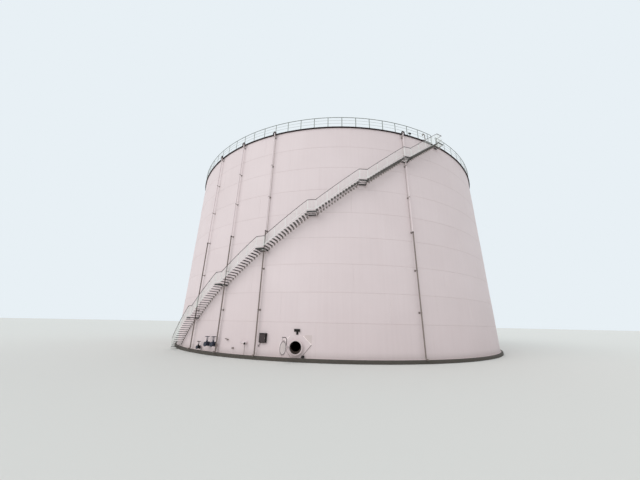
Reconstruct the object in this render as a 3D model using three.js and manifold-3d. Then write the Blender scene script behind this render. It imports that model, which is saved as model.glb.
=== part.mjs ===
// A welded steel storage tank with a spiral stair, as a 1:2 scale model.
//
// Every size below is that of the full-size tank, in millimetres, and the group at the end
// is scaled by MODEL_SCALE. Z is up, the origin is on the ground under the tank's axis, and
// the manhole faces -Y. An azimuth is measured from -Y, positive towards +X.

import * as THREE from 'three';
import { mergeVertices } from 'three/addons/utils/BufferGeometryUtils.js';
import Module from 'manifold-3d';

const wasm = await Module();
wasm.setup();

// Driving dimensions

const MODEL_SCALE = 1 / 2;
// Touching pieces keep this gap, which is 0.3 mm in the model.
const GAP = 0.6;
// A moving piece clears the others by this much, which is 5 mm in the model.
const RUNNING_GAP = 10;

const TANK_R = 22000;
const FACETS = 48;
const FACET_ANGLE = 360 / FACETS;
// Distance from the axis to the middle of a facet of the shell's outside.
const FACE_R = TANK_R * Math.cos(THREE.MathUtils.degToRad(FACET_ANGLE / 2));

const FOUNDATION_R = 22250;
const FOUNDATION_H = 280;
const BOTTOM_R = 22075;
const BOTTOM_T = 10;

// The bottom course is a little taller than the eight above it.
const BOTTOM_COURSE_H = 2640;
const COURSE_H = 2415;
const COURSE_PLATES = [28, 25, 22, 19, 16, 13, 11, 10, 10];
const SHELL_BASE_Z = FOUNDATION_H + GAP + BOTTOM_T + GAP;
const SHELL_TOP_Z = SHELL_BASE_Z + BOTTOM_COURSE_H + (COURSE_PLATES.length - 1) * COURSE_H;

const KERB_LEG = 150;
const KERB_T = 12;

const ROOF_EDGE_R = 22060;
const ROOF_SLOPE = 1 / 16;
const ROOF_PLATE = 10;
const ROOF_HOLE_R = 900;
const ROOF_SECTORS = 4;
const ROOF_CAP_R = 1100;
const CAP_SHOULDER_R = 800;
const CAP_RIM = 40;
const CAP_CROWN = 60;
const VENT_R = 260;
const VENT_H = 520;
const VENT_HOOD = 80;

const RAIL_R = 22100;
const RAIL_H = 1200;
const RAIL_HEIGHTS = [420, 800, 1180];
const RAIL_POST = 50;
const RAIL_BAR = 40;

// Post with a box and bent vent pipe that stand on the roof near its edge.
const EDGE_BOX = { azimuth: 30.3, radius: 21700, width: 300, depth: 150, low: 600, high: 770, post: 60 };
const BENT_VENT = { azimuth: 36.1, radius: 21700, pipe: 45, bend: 170, rise: 1200, drop: 120 };

// The stair climbs in flights between landings, whose middles lie at these azimuths.
const RISER = 199.5;
const FLIGHT_RISERS = [16, 15, 15, 16, 16, 16, 16];
const LANDING_AZIMUTHS = [-31.24, -20.6, -9.3, 2.61, 14.52, 26.43, 38.44];
const LANDING_ANGLE = 1.93;
const LOWEST_GOING = 0.64;
const STAIR_OUTER_R = 22830;
// Treads and landings are drawn from inside the shell's radius and cut back to its surface.
const WALL_REACH_R = TANK_R - 200;
const TREAD_DEPTH = 250;
const TREAD_T = 35;
const STRINGER_T = 50;
const STRINGER_H = 80;
// The stringer's underside lies this much below the line of the tread noses.
const STRINGER_DROP = 60;
const STRINGER_CHORDS = 4;
const LANDING_T = 40;
const LANDING_BEAM_H = 140;
const LANDING_BEAM_T = 14;
const HANDRAIL_H = 1100;
const HANDRAIL_SIZE = 45;
const BALUSTER = 28;
const TREADS_PER_BALUSTER = 2;
// The top landing's rail turns in and ends this far outside the roof rail.
const RETURN_STOP = 150;

const PIPE_R = 57;
const PIPE_AXIS_R = TANK_R + 225;
const PIPE_AZIMUTHS = [26.8, -9.0, -19.95, -30.9];
// Width of the cut-out in a landing that a pipe passes, and the angle it takes up.
const PIPE_NOTCH = 300;
const PIPE_NOTCH_ANGLE = 0.5;
const PIPE_RISE = 60;
const CLAMP_PITCH = 3580;
const CLAMPS = 6;
const CLAMP_H = 60;
const SHOE_LENGTH = 250;
// Arch over each pipe's head, which stands just outside the kerb angle.
const ARCH_HALF = 165;
const ARCH_BAR = 50;
const ARCH_T = 25;
const ARCH_FOOT = 200;

const MANHOLE_Z = SHELL_BASE_Z + 753;
const MANHOLE_R = 450;
const MANHOLE_SIDES = 24;
const NECK_T = 12;
const NECK_INSIDE = 60;
const NECK_OUTSIDE = 250;
const FLANGE_R = 570;
const FLANGE_T = 25;
const MANHOLE_PLATE_HALF = 1430;
const PAD_T = 20;
// Half of the six-sided reinforcing plate's outline, as x and height above the shell's base.
const PAD_OUTLINE = [[400, 20], [1217, 966], [530, 1600]];

const COVER_R = 570;
const COVER_T = 20;
const COVER_OPEN_ANGLE = 100;
const DAVIT_X = -700;
const DAVIT_BAR_R = 25;
const DAVIT_PIN_GAP = 1.4;
const DAVIT_LUG = 50;
const HANGER_R = 18;
const SLEEVE_R = 42;
const SLEEVE_HALF_H = 150;
const DAVIT_RISE = 740;

// Small fittings on the bottom course. Heights are above the shell's base.
const EARTH_BOX = { x: 570, width: 250, depth: 150, height: 200, lift: 10 };
const PLATED_STUB = {
  azimuth: 0.1,
  plateWidth: 450,
  plateLow: 1910,
  plateHigh: 2120,
  plateT: 60,
  stemWidth: 150,
  stemLow: 1690,
  out: 120,
};
const SAMPLE_NOZZLE = {
  azimuth: -11.7,
  height: 950,
  half: 75,
  out: 260,
  turn: 0.45,
  sideways: 400,
  drainR: 20,
};
// Parts of a valve as fractions of its size: radius, then where it starts and ends.
const VALVE_BORE = [0.42, 0, 2.2];
const VALVE_FLANGES = [[0.72, 0.6, 0.8], [0.72, 1.9, 2.1]];
const VALVE_BONNET = [0.45, 0, 1.2];
const VALVE_STEM = [0.1, 1.1, 2.1];
const VALVE_WHEEL = [0.6, 1.9, 2.0];
const VALVE_OUT = 1.4;

// Basic helpers

const rad = THREE.MathUtils.degToRad;

function polar(radius, azimuth, z) {
  return new THREE.Vector3(radius * Math.sin(rad(azimuth)), -radius * Math.cos(rad(azimuth)), z);
}

function toSolid(geometry) {
  const bare = geometry.index ? geometry.toNonIndexed() : geometry.clone();
  bare.deleteAttribute('normal');
  bare.deleteAttribute('uv');
  const merged = mergeVertices(bare, 1e-3);
  return new wasm.Manifold(new wasm.Mesh({
    numProp: 3,
    vertProperties: new Float32Array(merged.attributes.position.array),
    triVerts: new Uint32Array(merged.index.array),
  }));
}

function toGeometry(solid) {
  const mesh = solid.getMesh();
  const geometry = new THREE.BufferGeometry();
  geometry.setAttribute('position', new THREE.BufferAttribute(mesh.vertProperties, 3));
  geometry.setIndex(new THREE.BufferAttribute(mesh.triVerts, 1));
  return geometry;
}

function join(solids) {
  return solids.reduce((whole, piece) => whole.add(piece));
}

// A ring or disc about the Z axis from a counter-clockwise profile of [radius, z] points. A
// facet's middle, not its corner, lies at azimuth 0.
function revolve(profile, sides = FACETS) {
  const points = [...profile, profile[0]].map(([r, z]) => new THREE.Vector2(r, z));
  const start = Math.PI / sides;
  return new THREE.LatheGeometry(points, sides, start, 2 * Math.PI).rotateX(Math.PI / 2);
}

function rectangleProfile(inner, outer, low, high) {
  return [[inner, low], [outer, low], [outer, high], [inner, high]];
}

// An upright prism with as many sides as the shell, as a cutter or a disc.
function facetDisc(radius, low, high) {
  const shape = new THREE.Shape();
  for (let i = 0; i < FACETS; i += 1) {
    const corner = polar(radius, (i + 0.5) * FACET_ANGLE, 0);
    shape[i === 0 ? 'moveTo' : 'lineTo'](corner.x, corner.y);
  }
  shape.closePath();
  const extrusion = { depth: high - low, bevelEnabled: false };
  return new THREE.ExtrudeGeometry(shape, extrusion).translate(0, 0, low);
}

// A wedge of space about the axis between two azimuths less than 180 degrees apart.
function wedge(from, to, low, high) {
  const shape = new THREE.Shape();
  const reach = 2 * TANK_R;
  const middle = (from + to) / 2;
  shape.moveTo(0, 0);
  for (const azimuth of [from, middle, to]) {
    const corner = polar(reach, azimuth, 0);
    shape.lineTo(corner.x, corner.y);
  }
  shape.closePath();
  const extrusion = { depth: high - low, bevelEnabled: false };
  return new THREE.ExtrudeGeometry(shape, extrusion).translate(0, 0, low);
}

// A box that lies along a radius: its length runs outwards from the inner radius.
function radialBox(inner, outer, azimuth, width, low, high) {
  const box = new THREE.BoxGeometry(width, outer - inner, high - low);
  box.translate(0, -(inner + outer) / 2, (low + high) / 2);
  return box.rotateZ(rad(azimuth));
}

// A round bar of few sides, upright, with its axis at a radius and azimuth.
function uprightBar(radius, axisRadius, azimuth, low, high, sides = 8) {
  const bar = new THREE.CylinderGeometry(radius, radius, high - low, sides).rotateX(Math.PI / 2);
  const place = polar(axisRadius, azimuth, (low + high) / 2);
  return bar.translate(place.x, place.y, place.z);
}

// A bar of rectangular section that follows points given as [azimuth, z of its middle] at
// one radius. Its section stays upright, and each stretch is a straight chord.
function chordBar(points, radius, thickness, height) {
  const corners = [];
  const index = [];
  for (const [azimuth, z] of points) {
    corners.push(polar(radius - thickness / 2, azimuth, z - height / 2));
    corners.push(polar(radius + thickness / 2, azimuth, z - height / 2));
    corners.push(polar(radius + thickness / 2, azimuth, z + height / 2));
    corners.push(polar(radius - thickness / 2, azimuth, z + height / 2));
  }
  for (let i = 0; i + 1 < points.length; i += 1) {
    for (let side = 0; side < 4; side += 1) {
      const a = 4 * i + side;
      const b = 4 * i + (side + 1) % 4;
      index.push(a, b + 4, b, a, a + 4, b + 4);
    }
  }
  const last = 4 * (points.length - 1);
  index.push(0, 1, 2, 0, 2, 3, last, last + 2, last + 1, last, last + 3, last + 2);
  const geometry = new THREE.BufferGeometry().setFromPoints(corners);
  geometry.setIndex(index);
  return geometry;
}

// Materials

const steelFinish = { roughness: 0.45, metalness: 0.1 };
const FINISHES = {
  shell_paint: { color: 0xded4d2, ...steelFinish },
  trim_paint: { color: 0xd4cdca, ...steelFinish },
  concrete: { color: 0x6f6b66, roughness: 0.95, metalness: 0 },
  galvanised: { color: 0x8d918e, roughness: 0.5, metalness: 0.7 },
  dark_paint: { color: 0x2c2a2a, roughness: 0.5, metalness: 0.2 },
  brown_paint: { color: 0x6a5a55, roughness: 0.5, metalness: 0.2 },
  valve_paint: { color: 0x23283a, roughness: 0.4, metalness: 0.2 },
};

const tank = new THREE.Group();
tank.name = 'storage_tank';

function addPiece(name, shape, finish) {
  const geometry = shape.isBufferGeometry ? shape : toGeometry(shape);
  const mesh = new THREE.Mesh(geometry, new THREE.MeshStandardMaterial(FINISHES[finish]));
  mesh.name = name;
  tank.add(mesh);
}

// Shared cutters

const aboveAll = SHELL_TOP_Z + 4000;
const shellSpace = toSolid(facetDisc(TANK_R + GAP, -100, SHELL_TOP_Z + GAP));
const footSpace = join([
  toSolid(facetDisc(FOUNDATION_R + GAP, -100, FOUNDATION_H + GAP)),
  toSolid(facetDisc(BOTTOM_R + GAP, 0, SHELL_BASE_Z)),
]);
const tankSpace = join([shellSpace, footSpace]);

// Foundation and bottom

const bottomLow = FOUNDATION_H + GAP;
addPiece('foundation', facetDisc(FOUNDATION_R, 0, FOUNDATION_H), 'concrete');
addPiece('bottom_plate', facetDisc(BOTTOM_R, bottomLow, bottomLow + BOTTOM_T), 'shell_paint');

// Shell courses

function courseTop(number) {
  return SHELL_BASE_Z + BOTTOM_COURSE_H + (number - 1) * COURSE_H;
}

function courseRing(number) {
  const low = number === 1 ? SHELL_BASE_Z : courseTop(number - 1);
  const inner = TANK_R - COURSE_PLATES[number - 1];
  return revolve(rectangleProfile(inner, TANK_R, low, courseTop(number) - GAP));
}

function manholeCourse() {
  const cut = new THREE.BoxGeometry(2 * (MANHOLE_PLATE_HALF + GAP), 2000, 2 * BOTTOM_COURSE_H);
  cut.translate(0, -FACE_R, SHELL_BASE_Z + BOTTOM_COURSE_H / 2);
  return toSolid(courseRing(1)).subtract(toSolid(cut));
}

function roundHole(radius) {
  const hole = new THREE.Path();
  hole.absarc(0, MANHOLE_Z, radius, 0, 2 * Math.PI, true);
  return hole;
}

// A plate drawn in X and Z that stands against the shell's front facet, its inner face at a
// distance from the axis.
function frontPlate(shape, inner, thickness) {
  const extrusion = { depth: thickness, bevelEnabled: false, curveSegments: MANHOLE_SIDES };
  return new THREE.ExtrudeGeometry(shape, extrusion).rotateX(Math.PI / 2).translate(0, -inner, 0);
}

function manholePlate() {
  const shape = new THREE.Shape();
  const top = courseTop(1) - GAP;
  shape.moveTo(-MANHOLE_PLATE_HALF, SHELL_BASE_Z);
  shape.lineTo(MANHOLE_PLATE_HALF, SHELL_BASE_Z);
  shape.lineTo(MANHOLE_PLATE_HALF, top);
  shape.lineTo(-MANHOLE_PLATE_HALF, top);
  shape.closePath();
  shape.holes.push(roundHole(MANHOLE_R + NECK_T + 2 * GAP));
  return frontPlate(shape, FACE_R - COURSE_PLATES[0], COURSE_PLATES[0]);
}

addPiece('shell_course_1', manholeCourse(), 'shell_paint');
addPiece('manhole_shell_plate', manholePlate(), 'shell_paint');
for (let number = 2; number <= COURSE_PLATES.length; number += 1) {
  addPiece(`shell_course_${number}`, courseRing(number), 'shell_paint');
}

// Kerb angle round the rim: one leg down the shell, one leg outwards at the top

function kerbAngle() {
  const inner = TANK_R + GAP / Math.cos(rad(FACET_ANGLE / 2));
  return revolve([
    [inner, SHELL_TOP_Z - KERB_LEG],
    [inner + KERB_T, SHELL_TOP_Z - KERB_LEG],
    [inner + KERB_T, SHELL_TOP_Z - KERB_T],
    [inner + KERB_LEG, SHELL_TOP_Z - KERB_T],
    [inner + KERB_LEG, SHELL_TOP_Z - GAP],
    [inner, SHELL_TOP_Z - GAP],
  ]);
}

addPiece('top_kerb_angle', kerbAngle(), 'shell_paint');

// Roof: a shallow cone in sectors, closed in the middle by a cap with a vent

function roofHeight(radius) {
  return SHELL_TOP_Z + GAP + (ROOF_EDGE_R - radius) * ROOF_SLOPE;
}

function roofSector(index) {
  const span = 360 / ROOF_SECTORS;
  const from = FACET_ANGLE / 2 + index * span;
  const cone = toSolid(revolve([
    [ROOF_HOLE_R, roofHeight(ROOF_HOLE_R)],
    [ROOF_EDGE_R, roofHeight(ROOF_EDGE_R)],
    [ROOF_EDGE_R, roofHeight(ROOF_EDGE_R) + ROOF_PLATE],
    [ROOF_HOLE_R, roofHeight(ROOF_HOLE_R) + ROOF_PLATE],
  ]));
  // The seam's gap is cut off one side of each sector.
  const seam = new THREE.BoxGeometry(2 * GAP, 2 * TANK_R, 4000);
  seam.translate(0, -TANK_R, SHELL_TOP_Z).rotateZ(rad(from));
  const part = cone.intersect(toSolid(wedge(from, from + span, SHELL_TOP_Z - 10, aboveAll)));
  return part.subtract(toSolid(seam));
}

function roofCap() {
  const base = roofHeight(ROOF_HOLE_R) + ROOF_PLATE + GAP;
  const edge = base - (ROOF_CAP_R - ROOF_HOLE_R) * ROOF_SLOPE + GAP;
  return toSolid(revolve([
    [0, base],
    [ROOF_HOLE_R, base],
    [ROOF_CAP_R, edge + 2 * GAP],
    [ROOF_CAP_R, edge + CAP_RIM],
    [CAP_SHOULDER_R, base + CAP_RIM],
    [VENT_R, base + CAP_CROWN],
    [VENT_R, base + VENT_H],
    [0, base + VENT_H + VENT_HOOD],
  ], MANHOLE_SIDES));
}

for (let index = 0; index < ROOF_SECTORS; index += 1) {
  addPiece(`roof_sector_${index + 1}`, roofSector(index), 'trim_paint');
}
addPiece('roof_centre_cap', roofCap(), 'trim_paint');

// Fittings near the roof's edge, cut off at the roof plate they stand on

const roofSpace = toSolid(revolve([
  [0, SHELL_TOP_Z],
  [ROOF_EDGE_R, SHELL_TOP_Z],
  [ROOF_EDGE_R, roofHeight(ROOF_EDGE_R) + ROOF_PLATE + GAP],
  [0, roofHeight(0) + ROOF_PLATE + GAP],
]));

function edgeBox() {
  const { azimuth, radius, width, depth, low, high, post } = EDGE_BOX;
  const inner = radius - depth / 2;
  const box = radialBox(inner, inner + depth, azimuth, width, SHELL_TOP_Z + low, SHELL_TOP_Z + high);
  const postInner = radius - post / 2;
  const stem = radialBox(postInner, postInner + post, azimuth, post, SHELL_TOP_Z, SHELL_TOP_Z + low + post);
  return join([toSolid(box), toSolid(stem)]).subtract(roofSpace);
}

function bentVent() {
  const { azimuth, radius, pipe, bend, rise, drop } = BENT_VENT;
  const bar = (x, low, high) => {
    const part = new THREE.CylinderGeometry(pipe, pipe, high - low, 12).rotateX(Math.PI / 2);
    return toSolid(part.translate(x, -radius, SHELL_TOP_Z + (low + high) / 2));
  };
  // The bend is a little more than half a turn, so that its ends lie inside the straight pipes.
  const turn = Math.PI + 0.1;
  const arch = new THREE.TorusGeometry(bend, pipe, 12, 12, turn).rotateZ(-0.05).rotateX(Math.PI / 2);
  arch.translate(-bend, -radius, SHELL_TOP_Z + rise);
  // A torus shorter than a full turn is open at both ends: its hull closes each slice.
  const slices = closedSlices(arch, 12, 12);
  const whole = join([bar(0, 0, rise), bar(-2 * bend, rise - drop, rise), ...slices]);
  return whole.rotate([0, 0, azimuth]).subtract(roofSpace);
}

// The hulls of the stretches between neighbouring rings of a bent pipe.
function closedSlices(bentPipe, rings, sides) {
  const points = bentPipe.attributes.position;
  const solids = [];
  for (let i = 0; i < rings; i += 1) {
    const corners = [];
    for (let j = 0; j < sides; j += 1) {
      for (const ring of [i, i + 1]) {
        const at = j * (rings + 1) + ring;
        corners.push([points.getX(at), points.getY(at), points.getZ(at)]);
      }
    }
    solids.push(wasm.Manifold.hull(corners));
  }
  return solids;
}

addPiece('roof_edge_box', edgeBox(), 'dark_paint');
addPiece('roof_bent_vent', bentVent(), 'trim_paint');

// Stair geometry shared by flights, landings and balustrades

function stairPlan() {
  const flights = [];
  let start = LANDING_AZIMUTHS[0] - LANDING_ANGLE / 2 - (FLIGHT_RISERS[0] - 1) * LOWEST_GOING;
  let baseZ = 0;
  FLIGHT_RISERS.forEach((risers, k) => {
    const end = LANDING_AZIMUTHS[k] - LANDING_ANGLE / 2;
    const landingEnd = end + LANDING_ANGLE;
    const going = (end - start) / (risers - 1);
    const topZ = baseZ + risers * RISER;
    flights.push({ risers, start, end, landingEnd, going, baseZ, topZ });
    baseZ = topZ;
    start = landingEnd;
  });
  return flights;
}

const FLIGHTS = stairPlan();

// Points of a bar that climbs with a flight from a starting height to its landing, raised by
// a distance. The bar runs level over the landing.
function climbLine(flight, startZ, rise) {
  const points = [];
  for (let i = 0; i <= STRINGER_CHORDS; i += 1) {
    const part = i / STRINGER_CHORDS;
    const azimuth = flight.start + part * (flight.end - flight.start);
    const z = startZ + part * (flight.topZ - startZ);
    points.push([azimuth, z + rise]);
  }
  points.push([flight.landingEnd, flight.topZ + rise]);
  return points;
}

// Pieces that are joined reach this far into each other.
const BITE = 5;
const STRINGER_R = STAIR_OUTER_R + STRINGER_T / 2 - BITE;
const STRINGER_MIDDLE = STRINGER_H / 2 - STRINGER_DROP;
const TREAD_END_R = STAIR_OUTER_R + 2 * BITE;
const INNER_BEAM_R = TANK_R + 40;
const OUTER_BEAM_R = STAIR_OUTER_R - 60;

function landingPlate(flight) {
  const solids = [];
  const steps = 2;
  const shape = new THREE.Shape();
  const inner = [];
  const outer = [];
  for (let i = 0; i <= steps; i += 1) {
    const azimuth = flight.end + i / steps * LANDING_ANGLE;
    inner.push(polar(WALL_REACH_R, azimuth, 0));
    outer.push(polar(TREAD_END_R, azimuth, 0));
  }
  const outline = [...inner, ...outer.reverse()];
  outline.forEach((p, i) => shape[i === 0 ? 'moveTo' : 'lineTo'](p.x, p.y));
  shape.closePath();
  const extrusion = { depth: LANDING_T, bevelEnabled: false };
  const plate = new THREE.ExtrudeGeometry(shape, extrusion);
  solids.push(toSolid(plate.translate(0, 0, flight.topZ - LANDING_T)));
  const beamMiddle = flight.topZ - LANDING_BEAM_H / 2 - BITE;
  for (const radius of [INNER_BEAM_R, OUTER_BEAM_R]) {
    const ends = [[flight.end, beamMiddle], [flight.landingEnd, beamMiddle]];
    solids.push(toSolid(chordBar(ends, radius, LANDING_BEAM_T, LANDING_BEAM_H)));
  }
  return join(solids);
}

// The stringer follows the noses of the treads, from the first tread on.
function stringer(flight, grow = 0) {
  const points = climbLine(flight, flight.baseZ + RISER, STRINGER_MIDDLE);
  return toSolid(chordBar(points, STRINGER_R, STRINGER_T + 2 * grow, STRINGER_H + 2 * grow));
}

function stairFlight(flight) {
  const solids = [stringer(flight), landingPlate(flight)];
  for (let step = 1; step < flight.risers; step += 1) {
    const azimuth = flight.start + (step - 0.5) * flight.going;
    const top = flight.baseZ + step * RISER;
    const tread = radialBox(WALL_REACH_R, TREAD_END_R, azimuth, TREAD_DEPTH, top - TREAD_T, top);
    solids.push(toSolid(tread));
  }
  if (flight.baseZ === 0) {
    const inner = STRINGER_R - STRINGER_T / 2;
    const foot = radialBox(inner, inner + STRINGER_T, flight.start + 0.1, STRINGER_H, 0, RISER);
    solids.push(toSolid(foot));
  }
  let whole = join(solids).subtract(tankSpace);
  for (const azimuth of PIPE_AZIMUTHS) {
    const notch = radialBox(WALL_REACH_R, PIPE_AXIS_R + 2 * PIPE_R, azimuth, PIPE_NOTCH, 0, aboveAll);
    const passesBefore = azimuth > flight.start - PIPE_NOTCH_ANGLE;
    if (passesBefore && azimuth < flight.landingEnd + PIPE_NOTCH_ANGLE) {
      whole = whole.subtract(toSolid(notch));
    }
  }
  // A flight ends a gap short of the next one's stringer.
  const seam = radialBox(WALL_REACH_R, STAIR_OUTER_R + 200, flight.landingEnd, 2 * GAP, 0, aboveAll);
  return whole.subtract(toSolid(seam));
}

// The handrail climbs from the landing below, so that it runs on from one flight to the next.
function stairBalustrade(flight, isTop) {
  const railPoints = climbLine(flight, flight.baseZ, HANDRAIL_H);
  const solids = [toSolid(chordBar(railPoints, STRINGER_R, HANDRAIL_SIZE, HANDRAIL_SIZE))];
  const azimuths = [];
  for (let step = 0; step < flight.risers; step += TREADS_PER_BALUSTER) {
    azimuths.push(flight.start + (step + 0.25) * flight.going);
  }
  const endAzimuth = flight.landingEnd - 0.1 * LANDING_ANGLE;
  azimuths.push(flight.landingEnd - LANDING_ANGLE / 2, endAzimuth);
  for (const azimuth of azimuths) {
    const climb = Math.min(1, (azimuth - flight.start) / (flight.end - flight.start));
    const low = flight.baseZ + RISER + climb * (flight.risers - 1) * RISER;
    const high = flight.baseZ + climb * flight.risers * RISER + HANDRAIL_H;
    const inner = STRINGER_R - BALUSTER / 2;
    const bar = radialBox(inner, inner + BALUSTER, azimuth, BALUSTER, low, high);
    solids.push(toSolid(bar));
  }
  if (isTop) {
    const inner = RAIL_R + RETURN_STOP;
    for (const rise of [HANDRAIL_H, HANDRAIL_H / 2]) {
      const z = flight.topZ + rise;
      const half = HANDRAIL_SIZE / 2;
      const bar = radialBox(inner, STRINGER_R, endAzimuth, HANDRAIL_SIZE, z - half, z + half);
      solids.push(toSolid(bar));
    }
    const low = flight.topZ + GAP;
    const post = radialBox(inner, inner + RAIL_POST, endAzimuth, RAIL_POST, low, low + HANDRAIL_H);
    solids.push(toSolid(post));
  }
  const seam = radialBox(TANK_R, STAIR_OUTER_R + 200, flight.landingEnd, 2 * GAP, 0, aboveAll);
  return join(solids).subtract(stringer(flight, GAP)).subtract(toSolid(seam));
}

FLIGHTS.forEach((flight, index) => {
  const isTop = index === FLIGHTS.length - 1;
  addPiece(`stair_flight_${index + 1}`, stairFlight(flight), 'galvanised');
  addPiece(`stair_balustrade_${index + 1}`, stairBalustrade(flight, isTop), 'trim_paint');
});

// Roof edge rail: posts on the kerb angle and three bars, open where the stair arrives

const TOP_LANDING_AZIMUTH = LANDING_AZIMUTHS.at(-1);
const ENTRY_START = TOP_LANDING_AZIMUTH - LANDING_ANGLE / 2;
const ENTRY_END = TOP_LANDING_AZIMUTH + LANDING_ANGLE / 2;

function railSection(from, to) {
  const firstCorner = (Math.floor(from / FACET_ANGLE - 0.5) + 1.5) * FACET_ANGLE;
  const stops = [from];
  for (let azimuth = firstCorner; azimuth < to - 0.01; azimuth += FACET_ANGLE) {
    stops.push(azimuth);
  }
  const solids = [];
  for (const rise of RAIL_HEIGHTS) {
    const points = [...stops, to].map((azimuth) => [azimuth, SHELL_TOP_Z + rise]);
    solids.push(toSolid(chordBar(points, RAIL_R, RAIL_BAR, RAIL_BAR)));
  }
  const inner = RAIL_R - RAIL_POST / 2;
  const isLast = to > ENTRY_START + 359;
  for (const azimuth of isLast ? [...stops, to] : stops) {
    const post = radialBox(inner, inner + RAIL_POST, azimuth, RAIL_POST, SHELL_TOP_Z, SHELL_TOP_Z + RAIL_H);
    solids.push(toSolid(post));
  }
  // A section ends a gap short of the next one's first post.
  const width = RAIL_POST + 2 * GAP;
  const trim = radialBox(TANK_R, RAIL_R + 100, to, width, SHELL_TOP_Z, aboveAll);
  const whole = join(solids);
  return isLast ? whole : whole.subtract(toSolid(trim));
}

const RAIL_SECTION_STARTS = [ENTRY_END, 123.75, 213.75, 303.75, 360 + ENTRY_START];
for (let index = 0; index + 1 < RAIL_SECTION_STARTS.length; index += 1) {
  const section = railSection(RAIL_SECTION_STARTS[index], RAIL_SECTION_STARTS[index + 1]);
  addPiece(`roof_rail_${index + 1}`, section, 'trim_paint');
}

// Downpipes held off the shell by clamps, with a shoe at the foot and an arch over the head

function pipeArch() {
  const low = SHELL_TOP_Z - ARCH_FOOT;
  const inside = ARCH_HALF - ARCH_BAR;
  const shape = new THREE.Shape();
  shape.moveTo(ARCH_HALF, low);
  shape.lineTo(ARCH_HALF, SHELL_TOP_Z);
  shape.absarc(0, SHELL_TOP_Z, ARCH_HALF, 0, Math.PI, false);
  shape.lineTo(-ARCH_HALF, low);
  shape.closePath();
  const opening = new THREE.Path();
  opening.moveTo(inside, low + ARCH_BAR);
  opening.lineTo(inside, SHELL_TOP_Z);
  opening.absarc(0, SHELL_TOP_Z, inside, 0, Math.PI, false);
  opening.lineTo(-inside, low + ARCH_BAR);
  opening.closePath();
  shape.holes.push(opening);
  const extrusion = { depth: ARCH_T, bevelEnabled: false, curveSegments: 12 };
  const arch = new THREE.ExtrudeGeometry(shape, extrusion).rotateX(Math.PI / 2);
  const pipeBack = PIPE_AXIS_R - PIPE_R + 2 * BITE;
  return arch.translate(0, ARCH_T - pipeBack, 0);
}

function downpipe(azimuth) {
  const low = FOUNDATION_H + GAP;
  const high = SHELL_TOP_Z + PIPE_RISE;
  const solids = [toSolid(uprightBar(PIPE_R, PIPE_AXIS_R, azimuth, low, high))];
  for (let number = 1; number <= CLAMPS; number += 1) {
    const z = SHELL_BASE_Z + number * CLAMP_PITCH;
    const bottom = z - CLAMP_H / 2;
    const clamp = radialBox(WALL_REACH_R, PIPE_AXIS_R, azimuth, 3 * PIPE_R, bottom, bottom + CLAMP_H);
    solids.push(toSolid(clamp));
  }
  const shoe = new THREE.CylinderGeometry(PIPE_R, PIPE_R, SHOE_LENGTH, 8);
  shoe.translate(0, -PIPE_AXIS_R - SHOE_LENGTH / 2, low + PIPE_R + BITE);
  solids.push(toSolid(shoe.rotateZ(rad(azimuth))), toSolid(pipeArch().rotateZ(rad(azimuth))));
  return join(solids).subtract(tankSpace);
}

PIPE_AZIMUTHS.forEach((azimuth, index) => {
  addPiece(`downpipe_${index + 1}`, downpipe(azimuth), 'trim_paint');
});

// Manhole: neck with flange, six-sided reinforcing plate, and the sleeve of the davit

function manholeRing(profile) {
  const points = [...profile, profile[0]].map(([r, out]) => new THREE.Vector2(r, out));
  const start = Math.PI / MANHOLE_SIDES;
  const ring = new THREE.LatheGeometry(points, MANHOLE_SIDES, start, 2 * Math.PI);
  // The lathe's axis is Y: turned over, its height grows outwards from the shell.
  return ring.rotateX(Math.PI).translate(0, -FACE_R, MANHOLE_Z);
}

const COVER_FACE = NECK_OUTSIDE + RUNNING_GAP;
const DAVIT_OUT = COVER_FACE + COVER_T + DAVIT_LUG;

function davitSleeve() {
  const web = new THREE.BoxGeometry(-DAVIT_X - FLANGE_R + 40, FLANGE_T, 120);
  web.translate((DAVIT_X - FLANGE_R + 40) / 2, -FACE_R - NECK_OUTSIDE + FLANGE_T / 2, MANHOLE_Z);
  const arm = new THREE.BoxGeometry(24, DAVIT_OUT - NECK_OUTSIDE + FLANGE_T, 120);
  arm.translate(DAVIT_X, -FACE_R - (DAVIT_OUT + NECK_OUTSIDE - FLANGE_T) / 2, MANHOLE_Z);
  const sleeve = new THREE.CylinderGeometry(SLEEVE_R, SLEEVE_R, 2 * SLEEVE_HALF_H, 16);
  const bore = new THREE.CylinderGeometry(
    DAVIT_BAR_R + DAVIT_PIN_GAP, DAVIT_BAR_R + DAVIT_PIN_GAP, 3 * SLEEVE_HALF_H, 16);
  for (const round of [sleeve, bore]) {
    round.rotateX(Math.PI / 2).translate(DAVIT_X, -FACE_R - DAVIT_OUT, MANHOLE_Z);
  }
  return join([toSolid(web), toSolid(arm), toSolid(sleeve)]).subtract(toSolid(bore));
}

function manholeNeck() {
  const outer = MANHOLE_R + NECK_T;
  const neck = manholeRing([
    [MANHOLE_R, -COURSE_PLATES[0] - NECK_INSIDE],
    [outer, -COURSE_PLATES[0] - NECK_INSIDE],
    [outer, NECK_OUTSIDE - FLANGE_T],
    [FLANGE_R, NECK_OUTSIDE - FLANGE_T],
    [FLANGE_R, NECK_OUTSIDE],
    [MANHOLE_R, NECK_OUTSIDE],
  ]);
  return join([toSolid(neck), davitSleeve()]);
}

function reinforcingPlate() {
  const shape = new THREE.Shape();
  const right = PAD_OUTLINE.map(([x, z]) => [x, SHELL_BASE_Z + z]);
  const left = right.map(([x, z]) => [-x, z]).reverse();
  [...right, ...left].forEach(([x, z], i) => shape[i === 0 ? 'moveTo' : 'lineTo'](x, z));
  shape.closePath();
  shape.holes.push(roundHole(MANHOLE_R + NECK_T + 2 * GAP));
  return frontPlate(shape, FACE_R + GAP, PAD_T);
}

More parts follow.
